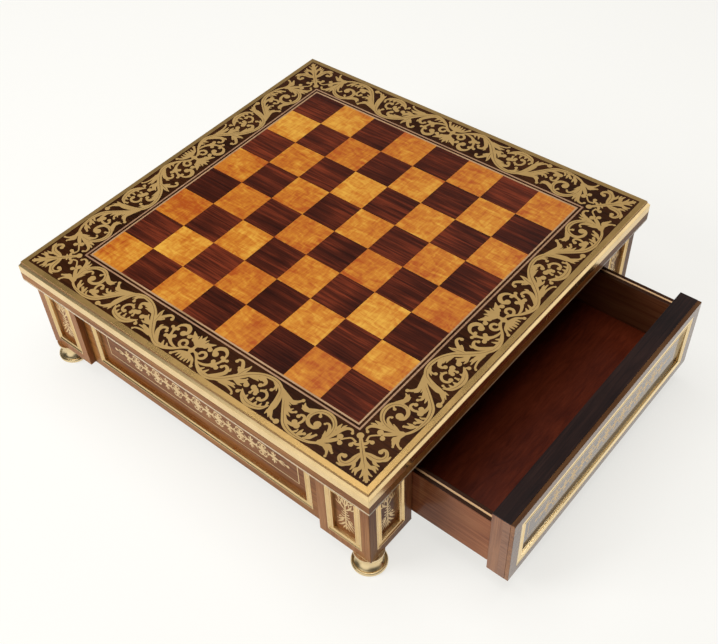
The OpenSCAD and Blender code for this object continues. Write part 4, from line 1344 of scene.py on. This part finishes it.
@dataclass
class SunkPanel:
    """A sunk panel: brass frame, and marquetry behind it.

    Attributes:
        width: Width over the frame.
        height: Height over the frame.
        strokes: The ornament.
        string: Whether a thin brass string runs round inside the ground's edge.
        sheet: Depth from the face to the marquetry.
        frame_w: Width of the frame.
        fillet: Width of the frame's flat outer fillet.
        bead: Width of its rounded inner bead.
        bead_drop: Depth from the face to the middle of the bead's section.
        bead_rise: Height of the bead above that.
        sag: Depth of the hollow between fillet and bead.
        lip: Depth of the hollow's two edges.
        ease: Width of the eased outer edge.
        back: Depth from the face to the back of the pocket.
        mitre: Half the open joint at each mitre.
    """

    width: float
    height: float
    strokes: Sequence[Stroke]
    string: bool = False
    sheet: float = 0.0039
    frame_w: float = 0.0072
    fillet: float = 0.0012
    bead: float = 0.0014
    bead_drop: float = 0.0006
    bead_rise: float = 0.0005
    sag: float = 0.0014
    lip: float = 0.0001
    ease: float = 0.0002
    back: float = 0.0044
    mitre: float = 0.00005

    def frame_profile(self) -> np.ndarray:
        """The frame's section, as (distance in from the outer edge, height above the panel's face).

        A flat fillet, a hollow that sags as a parabola, a rounded inner bead, and a wall that drops to the
        ground.
        """
        outer, inner = self.fillet, self.frame_w - self.bead
        u = np.linspace(-1, 1, 11)[1:-1]
        hollow = np.column_stack([(outer + inner) / 2 + (inner - outer) / 2 * u,
                                  -self.lip - self.sag * (1 - u**2)])
        a = np.linspace(math.pi, 0, 9)
        bead = np.column_stack([inner + self.bead / 2 * (1 + np.cos(a)),
                                -self.bead_drop + self.bead_rise * np.sin(a)])
        edge = [[0, -self.back], [0, -self.ease], [self.ease, 0], [self.fillet, 0]]
        return np.vstack([edge, hollow, bead, [self.frame_w, -self.back]])[::-1]

    def frame_points(self, place: PanelPlace, shell: Shell) -> None:
        """Adds the four mitred lengths of the frame to a shell.

        Args:
            place: Where the panel lies.
            shell: The shell that gathers the lengths.
        """
        profile = self.frame_profile()
        for side in Side:
            long, short = (self.width, self.height) if side.value % 2 == 0 else (self.height, self.width)
            bar = mitred_bar(profile, short / 2, long / 2, self.mitre)
            local = np.column_stack([bar[:, 0], -bar[:, 1], bar[:, 2]]) @ side.turn().T
            shell.add(place.points(local), prism_faces(len(profile)))

    def cut(self) -> tuple[np.ndarray, np.ndarray, np.ndarray]:
        """Returns the marquetry's points, ground triangles and ornament triangles, in millimetres."""
        w = (self.width - 2 * self.frame_w) / MM / 2
        h = (self.height - 2 * self.frame_w) / MM / 2
        strings = self.string_bars(w - PANEL_STRING_IN[0], h - PANEL_STRING_IN[1]) if self.string else []
        return Marquetry([(-w, -h), (w, -h), (w, h), (-w, h)], self.strokes, strings).cut()

    @staticmethod
    def string_bars(w: float, h: float) -> list[list[Point]]:
        """Returns the corners of the four bars of a thin string, from half its width and height over all."""
        t = PANEL_STRING_W
        bars = ((-w, -h, w, -h + t), (-w, h - t, w, h), (-w, -h, -w + t, h), (w - t, -h, w, h))
        return [[(x0, y0), (x1, y0), (x1, y1), (x0, y1)] for x0, y0, x1, y1 in bars]

    def sheets(self, places: Sequence[PanelPlace], ground: Shell, ornament: Shell) -> None:
        """Adds the marquetry at each place to two shells.

        Args:
            places: Where the panels lie.
            ground: The shell that gathers the ground.
            ornament: The shell that gathers the brass.
        """
        points, back, brass = self.cut()
        for triangles, shell in ((back, ground), (brass, ornament)):
            flat, joined = welded(points, triangles)
            solid, skin = sheet_solid(flat * MM, joined, -self.sheet, -self.back)
            for place in places:
                shell.add(place.points(solid), skin)

    def fit(self, places: Sequence[PanelPlace], body: str, name: str, nodes: Sequence[str],
            finishes: Sequence[Finish]) -> None:
        """Makes the frames, grounds and brasses of equal sunk panels.

        Args:
            places: Where the panels are fitted.
            body: The body that they ride on.
            name: The start of the pieces' names.
            nodes: The frame's, the ground's and the brass's nodes.
            finishes: The frame's, the ground's and the brass's finishes.
        """
        shells = frames, ground, brass = Shell(), Shell(), Shell()
        for place in places:
            self.frame_points(place, frames)
        self.sheets(places, ground, brass)
        parts = (("brass_frame", "frame_brass"), ("marquetry_ground", "panel_ground"),
                 ("marquetry_brass", "fret_brass"))
        for shell, (part, slot), node, finish in zip(shells, parts, nodes, finishes):
            shell.piece(f"{name}_{part}", body, finish, slot, [node])


@dataclass
class Case:
    """The case: posts, fixed panels, rails and carcase.

    Attributes:
        body: The body that it rides on.
        face: Distance of the posts' outer faces from the middle.
        panel_face: Distance of the fixed panels' faces from the middle.
        post_in: Distance of the posts' inner faces from the middle.
        floor: Height of the posts' and panels' lower edges.
        ceiling: Height of their upper edges.
        post_panel: Width and height over the frame of a post's panel.
        long_panel: Width and height over the frame of a fixed panel.
        foot_painted_highlight: Width and height of the pale strip in a post's lower edge, a painted
            highlight.
    """

    body: str = "case"
    face: float = from_part(high, "front_right_post", Axis.X)
    panel_face: float = from_part(high, "back_panel", Axis.Y)
    post_in: float = from_part(low, "front_right_post", Axis.X)
    floor: float = from_part(low, "front_panel", Axis.Z)
    ceiling: float = from_part(high, "front_panel", Axis.Z)
    post_panel: tuple[float, float] = (0.041, 0.076)
    long_panel: tuple[float, float] = (0.307, 0.076)
    foot_painted_highlight: float = 0.0008

    def ease(self, node: str, finish: Finish, width: float) -> None:
        """Eases the edges of one of the case's boards, by the given width."""
        eased_copy(node, f"{node}_eased", self.body, finish, "rosewood", width)

    def posts(self) -> None:
        """Eases the posts, fits their sunk panels and lays a painted highlight along their lower edges."""
        for corner in CORNERS:
            self.ease(f"{corner}_post", Finish.ROSEWOOD_UP, 0.0008)
        middle = (self.face + self.post_in) / 2
        up = (self.floor + self.ceiling) / 2
        places = [PanelPlace(side, along, self.face, up) for side in Side for along in (-middle, middle)]
        panel = SunkPanel(*self.post_panel, mirrored_x(POST_HALF))
        panel.fit(places, self.body, "post", ("post_frames", "post_grounds", "post_frets"), PANEL_FINISHES)
        self.foot_strings()

    def foot_strings(self) -> None:
        """Lays a pale strip into the eased lower edge of each post, as a painted highlight on that edge."""
        t, hair = self.foot_painted_highlight, 0.00004
        ease, inner = 0.3 * t, 0.95 * t
        profile = np.array([[hair, self.floor + t], [hair, self.floor + ease], [ease, self.floor],
                            [t, self.floor], [inner, self.floor + t]])
        shell = Shell()
        for corner in CORNERS:
            middle = (low(f"{corner}_post") + high(f"{corner}_post")) / 2
            shell.add_square_run(profile, (self.face - self.post_in) / 2, hair / 2, tuple(middle[:2]))
        # The painted highlight wears the frieze string's pale finish.
        shell.piece("post_foot_painted_highlights", self.body, Finish.FRIEZE_STRING, "pale_string")

    def panels(self) -> None:
        """Eases the two fixed panels and fits their sunk panels."""
        panel = SunkPanel(*self.long_panel, panel_run(), string=True)
        for side in (Side.FRONT, Side.BACK):
            name = f"{side.name.lower()}_panel"
            self.ease(name, Finish.ROSEWOOD_X, 0.0006)
            place = PanelPlace(side, 0.0, self.panel_face, (self.floor + self.ceiling) / 2)
            nodes = (f"{name}_frame", f"{name}_ground", f"{name}_fret")
            panel.fit([place], self.body, name, nodes, PANEL_FINISHES)

    def carcase(self) -> None:
        """Dresses the boards inside the case and eases the rails."""
        for finish, nodes in (
                (Finish.CARCASE, ("sub_top", "bottom_board", "centre_divider", "drawer_guides")),
                (Finish.RUNNER, ("drawer_runners", "drawer_stops")),
                (Finish.STEEL, ("foot_studs", "board_screws"))):
            for node in nodes:
                dress(node, finish)
        for side in ("right", "left"):
            self.ease(f"{side}_top_rail", Finish.ROSEWOOD_Y, 0.0006)

    def build(self) -> None:
        """Builds and dresses the whole case."""
        self.posts()
        self.panels()
        self.carcase()


@dataclass
class Foot:
    """One turned foot: a rounded disc, a sharp groove, a hollow neck and a flange.

    Attributes:
        name: The foot's node.
        body: The body that it rides on.
        steps: Number of steps round its axis.
        widest: Radius over the disc.
        disc: Half the disc's thickness, and the radius of its rounded rim.
        groove_low: Height of the groove's lower edge.
        groove_low_r: Radius there.
        groove_high: Height of the groove's upper edge.
        groove_high_r: Radius there.
        hollow_low: Height at which the hollow starts.
        hollow_r: Radius at which it starts, below the disc's.
        neck: Radius of the neck.
        neck_drop: Depth from the foot's top to the neck.
        hollow_bend: Power of the way up the hollow that spaces its points.
        flange: Radius of the flange.
        flange_ease: Width of its rounded lower edge.
        flange_rise: Height of that edge.
        bore: Radius of the flat middle at both ends.
    """

    name: str
    body: str = "case"
    steps: int = 96
    widest: float = 0.018
    disc: float = 0.0022
    groove_low: float = 0.0039
    groove_low_r: float = 0.0150
    groove_high: float = 0.0043
    groove_high_r: float = 0.0146
    hollow_low: float = 0.0046
    hollow_r: float = 0.0143
    neck: float = 0.0092
    neck_drop: float = 0.0085
    hollow_bend: float = 1.15
    flange: float = 0.0153
    flange_ease: float = 0.0022
    flange_rise: float = 0.0018
    bore: float = 0.004

    def profile(self) -> np.ndarray:
        """The foot's turned section, as (radius, height), from the ground up.

        The disc's rim is part of a circle. The hollow's radius falls with the square of the way up, and a
        rounded flange closes it under the post.
        """
        top = high(self.name)[2]
        a = np.linspace(-math.pi / 2, math.pi / 2 * 0.95, 15)
        rim = np.column_stack([self.widest - self.disc * (1 - np.cos(a)), self.disc * (1 + np.sin(a))])
        groove = [[self.groove_low_r, self.groove_low], [self.groove_high_r, self.groove_high]]
        u = np.linspace(0, 1, 14)
        rise = (top - self.neck_drop - self.hollow_low) * u**self.hollow_bend
        hollow = np.column_stack([self.neck + (self.hollow_r - self.neck) * (1 - u) ** 2,
                                  self.hollow_low + rise])
        c = np.linspace(-math.pi / 2, 0, 6)
        flange = np.column_stack([self.flange - self.flange_ease * (1 - np.cos(c)),
                                  top - self.flange_ease + self.flange_rise * np.sin(c)])
        return np.vstack([[self.bore, 0], rim, groove, hollow, flange, [self.flange, top], [self.bore, top]])

    def build(self) -> None:
        """Turns the section round its axis, closed by a face at the bottom and at the top."""
        axis = (low(self.name) + high(self.name)) / 2
        turn = np.linspace(0, 2 * math.pi, self.steps, endpoint=False)
        r, z = self.profile().T[:, :, None]
        grid = np.stack([axis[0] + r * np.cos(turn), axis[1] + r * np.sin(turn), z + 0 * turn], -1)
        step = np.arange(self.steps)
        rows = np.arange(len(r))[:, None] * self.steps
        i, j = (rows[:-1] + step).ravel(), (rows[:-1] + (step + 1) % self.steps).ravel()
        faces = np.stack([i, j, j + self.steps, i + self.steps], 1).tolist()
        faces += [step[::-1].tolist(), (step + rows[-1]).tolist()]
        shell = Shell()
        shell.add(grid.reshape(-1, 3), faces)
        shell.piece(f"{self.name}_turned", self.body, Finish.FOOT, "foot_brass", [self.name], sharp=40)


@dataclass
class Drawer:
    """One drawer: laminated front with a sunk panel, and the box behind it.

    Attributes:
        name: The drawer's body, and the start of its nodes' names.
        side: The side that it opens to.
        core: Thickness of the front's core, before the cross band.
        panel: Width and height over the frame of the sunk panel.
        panel_sheet: Depth from the face to its marquetry.
        margin_low: Height of the facing under the frame.
        ease: Width of the core's eased edges.
    """

    name: str
    side: Side
    core: float = 0.0113
    panel: tuple[float, float] = (0.307, 0.0685)
    panel_sheet: float = 0.0031
    margin_low: float = 0.010
    ease: float = 0.0002

    def node(self, part: str) -> str:
        """Returns the name of one of the drawer's nodes."""
        return f"{self.name}_{part}"

    def eased(self, part: str, finish: Finish, slot: str, width: float) -> None:
        """Eases the edges of one of the drawer's boards, by the given width."""
        eased_copy(self.node(part), f"{self.name}_{part}_eased", self.name, finish, slot, width)

    def front(self) -> None:
        """Makes the laminated front: core, cross band and facing, and the panel sunk in it."""
        self.eased("facing", Finish.FACING, "rosewood", 0.0006)
        self.eased("capping", Finish.CAPPING, "capping", 0.0003)
        core, facing = self.node("core"), self.node("facing")
        if self.side is Side.RIGHT:
            inner, outer, face = low(core)[0], high(core)[0], high(facing)[0]
            seam = inner + self.core
        else:
            inner, outer, face = high(core)[0], low(core)[0], -low(facing)[0]
            seam = inner - self.core
        self.block("front_core", inner, seam, Finish.CORE, [core])
        self.block("front_cross_band", seam, outer, Finish.CORE_LIP, [])
        up = low(facing)[2] + self.margin_low + self.panel[1] / 2
        panel = SunkPanel(*self.panel, panel_run(), string=True, sheet=self.panel_sheet)
        panel.fit([PanelPlace(self.side, 0.0, face, up)], self.name, self.name,
                  (self.node("frame"), self.node("ground"), self.node("fret")),
                  (Finish.DRAWER_FRAME, Finish.GROUND_FRONT, Finish.PANEL_FRET))

    def block(self, part: str, x0: float, x1: float, finish: Finish, replaces: Sequence[str]) -> None:
        """Makes an eased upright board of the core's width and height between two distances along the travel.

        Args:
            part: The piece's name after the drawer's.
            x0: Its one face.
            x1: Its other face.
            finish: Its finish.
            replaces: The nodes that it stands for.
        """
        r = self.ease
        (_, y0, z0), (_, y1, z1) = low(self.node("core")), high(self.node("core"))
        ring = np.array([[y0 + r, z0], [y1 - r, z0], [y1, z0 + r], [y1, z1 - r], [y1 - r, z1], [y0 + r, z1],
                         [y0, z1 - r], [y0, z0 + r]])
        ends = [np.column_stack([np.full(len(ring), x), ring]) for x in (min(x0, x1), max(x0, x1))]
        shell = Shell()
        shell.add(np.vstack(ends), prism_faces(len(ring)))
        shell.piece(f"{self.name}_{part}", self.name, finish, "front_core_wood", replaces)

    def box(self) -> None:
        """Eases the drawer's sides and back, and dresses its bottom and the strings in its sides."""
        self.eased("sides", Finish.DRAWER_SIDE, "drawer_wood", 0.0005)
        self.eased("back", Finish.DRAWER_BACK, "drawer_wood", 0.0005)
        dress(self.node("bottom"), Finish.DRAWER_FLOOR)
        dress(self.node("strings"), Finish.DRAWER_STRING)

    def build(self) -> None:
        """Builds and dresses the whole drawer."""
        self.front()
        self.box()


# ---- Studio ----


@dataclass(frozen=True)
class Lamp:
    """One square soft lamp.

    Attributes:
        name: The lamp's name.
        at: Its place.
        towards: The point that it faces.
        size: Width of its face.
        power: Its power in watts.
        shown: Whether reflections show it.
    """

    name: str
    at: tuple[float, float, float]
    towards: tuple[float, float, float]
    size: float
    power: float
    shown: bool = True

    def hang(self) -> None:
        """Links the lamp into the scene."""
        data = bpy.data.lights.new(self.name, "AREA")
        data.shape = "SQUARE"
        data.size = self.size
        data.energy = self.power
        lamp = bpy.data.objects.new(self.name, data)
        way = Vector(self.towards) - Vector(self.at)
        lamp.visible_glossy = self.shown
        lamp.matrix_world = Matrix.Translation(self.at) @ way.to_track_quat("-Z", "Y").to_matrix().to_4x4()
        bpy.context.scene.collection.objects.link(lamp)


@dataclass
class Studio:
    """Floor, walls, lamps and camera.

    Attributes:
        eye: The camera's place.
        azimuth: Turn of its view from the y axis, anticlockwise from above, in degrees.
        elevation: How far it looks down, in degrees.
        roll: Its turn about its own axis, in degrees.
        focal: Its focal length, in pixels.
        window: Width and height of the image, in pixels.
        centre: Where its axis meets the image, in pixels from the upper left corner.
        floor_size: Width of the floor.
        floor_colour: Colour of the floor where it is lit.
        floor_glow: Glow of the floor as the camera and reflections see it.
        floor_tint: Colour of that glow.
        bright_walls: Levels of the walls on the right and at the back, by height from level to overhead.
        dim_walls: Levels of the walls on the left and at the front.
        bright_way: The direction of the bright walls.
        bright_edge: Where they start and where they are full, as cosines of the angle to that direction.
        doorway_way: The direction of the dim doorway.
        doorway_edge: Where it starts and where it is full, given in the same way.
        doorway_dark: How much of the wall's level the doorway takes away.
        screen_way: The direction of the white screen.
        screen_edge: Where it starts and where it is full, given in the same way.
        screen_level: The screen's level.
        wall_light: Share of the walls' level that lights the box.
        lamps: The lamps.
    """

    eye: tuple[float, float, float] = (0.5504, -0.5953, 0.8666)
    azimuth: float = 44.595
    elevation: float = 46.939
    roll: float = -5.234
    focal: float = 1029.06
    window: tuple[int, int] = (718, 644)
    centre: tuple[float, float] = (318.46, 328.35)
    floor_size: float = 4.2
    floor_colour: Colour = (0.275, 0.272, 0.262)
    floor_glow: float = 0.71
    floor_tint: Colour = (0.997, 0.987, 0.945)
    bright_walls: tuple[Point, ...] = ((0.0, 1.1), (0.05, 1.2), (0.36, 1.0), (0.5, 0.22), (0.6, 0.22),
                                       (0.68, 0.48), (0.78, 0.4), (1.0, 0.25))
    dim_walls: tuple[Point, ...] = ((0.0, 1.05), (0.24, 0.95), (0.36, 0.1), (0.62, 0.06), (0.8, 0.08),
                                    (1.0, 0.25))
    bright_way: tuple[float, float, float] = (0.26, 0.966, 0.0)
    bright_edge: Point = (0.3, 0.75)
    doorway_way: tuple[float, float, float] = (-0.72, -0.694, 0.0)
    doorway_edge: Point = (0.82, 0.93)
    doorway_dark: float = 0.85
    screen_way: tuple[float, float, float] = (0.1, -0.995, 0.0)
    screen_edge: Point = (0.73, 0.84)
    screen_level: float = 1.15
    wall_light: float = 0.17
    lamps: tuple[Lamp, ...] = (
        Lamp("overhead", (-0.1, -0.03, 2.3), (0, 0, 0), 2.0, 43),
        Lamp("from_the_left_of_the_front", (-1.55, -2.33, 1.87), (0, 0, 0.07), 1.5, 67, shown=False))

    def camera(self) -> None:
        """Places the camera.

        It looks along the azimuth and down by the elevation, is turned by the roll about its own axis, and
        its window is shifted so that the axis meets the image at the given centre.
        """
        az, el, roll = (math.radians(v) for v in (self.azimuth, self.elevation, self.roll))
        ahead = Vector((-math.sin(az) * math.cos(el), math.cos(az) * math.cos(el), -math.sin(el)))
        level = Vector((math.cos(az), math.sin(az), 0))
        over = level.cross(ahead)
        right = math.cos(roll) * level + math.sin(roll) * over
        up = -math.sin(roll) * level + math.cos(roll) * over
        wide, tall = self.window
        data = bpy.data.cameras.new("camera")
        data.sensor_fit = "HORIZONTAL"
        data.sensor_width = 36.0
        data.lens = self.focal * data.sensor_width / wide
        data.shift_x = (wide / 2 - self.centre[0]) / wide
        data.shift_y = (self.centre[1] - tall / 2) / wide
        data.clip_start, data.clip_end = 0.05, 60
        camera = bpy.data.objects.new("camera", data)
        turn = Matrix((right, up, -ahead)).transposed()
        camera.matrix_world = Matrix.Translation(self.eye) @ turn.to_4x4()
        bpy.context.scene.collection.objects.link(camera)
        bpy.context.scene.camera = camera

    def floor(self) -> None:
        """Lays the pale floor, which the camera and reflections see lighter than it lights the box."""
        h = self.floor_size / 2
        mesh = bpy.data.meshes.new("floor")
        mesh.from_pydata([(-h, -h, 0), (h, -h, 0), (h, h, 0), (-h, h, 0)], [], [(0, 1, 2, 3)])
        floor = bpy.data.objects.new("floor", mesh)
        bpy.context.scene.collection.objects.link(floor)
        t = Tree("pale_floor")
        t.surface(Base_Color=(*self.floor_colour, 1), Roughness=0.9, Specular_IOR_Level=0.1)
        glow = t.nodes.new("ShaderNodeEmission")
        t.put(glow.inputs["Color"], (*self.floor_tint, 1))
        t.put(glow.inputs["Strength"], t.sums("MULTIPLY", t.looked_at(), self.floor_glow))
        both = t.nodes.new("ShaderNodeAddShader")
        t.put(both.inputs[0], t.shader.outputs[0])
        t.put(both.inputs[1], glow.outputs[0])
        t.put(t.output.inputs[0], both.outputs[0])
        mesh.materials.append(t.material)

    def world(self) -> None:
        """Makes the studio's walls and ceiling.

        The walls are pale near the floor and fade with height, later on the right and the back than
        elsewhere. A dim doorway opens at the left of the front, with a white screen beside it. The camera
        and reflections see them brighter than they light the box.
        """
        world = bpy.data.worlds.new("studio")
        world.use_nodes = True
        t = Wiring(world.node_tree)
        way = t.nodes.new("ShaderNodeTexCoord").outputs["Generated"]
        height = t.along(way, Axis.Z)
        dim, bright = (t.ramp(height, [(at, (level, level, level)) for at, level in levels])
                       for levels in (self.dim_walls, self.bright_walls))
        walls = t.blend("MIX", t.span(t.dot(way, self.bright_way), *self.bright_edge), dim, bright)
        doorway = t.span(t.dot(way, self.doorway_way), *self.doorway_edge, 1.0, 1 - self.doorway_dark)
        screen = t.span(t.dot(way, self.screen_way), *self.screen_edge, 0.0, self.screen_level)
        ground = t.nodes.new("ShaderNodeBackground")
        t.put(ground.inputs[0], t.sums("MAXIMUM", t.sums("MULTIPLY", walls, doorway), screen))
        t.put(ground.inputs[1], t.span(t.looked_at(), 0.0, 1.0, self.wall_light, 1.0))
        out = t.nodes.new("ShaderNodeOutputWorld")
        t.put(out.inputs[0], ground.outputs[0])
        bpy.context.scene.world = world

    def build(self) -> None:
        """Sets up the whole studio."""
        self.camera()
        self.floor()
        self.world()
        for lamp in self.lamps:
            lamp.hang()
        bpy.context.scene.view_settings.view_transform = "Standard"


def main() -> None:
    """Builds the box in order."""
    logging.basicConfig(level=logging.INFO, format="%(message)s")
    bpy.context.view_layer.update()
    Studio().build()
    Board().build()
    Case().build()
    for corner in CORNERS:
        Foot(f"{corner}_foot").build()
    Drawer("right_drawer", Side.RIGHT).build()
    Drawer("left_drawer", Side.LEFT).build()


if __name__ == "__main__":
    main()
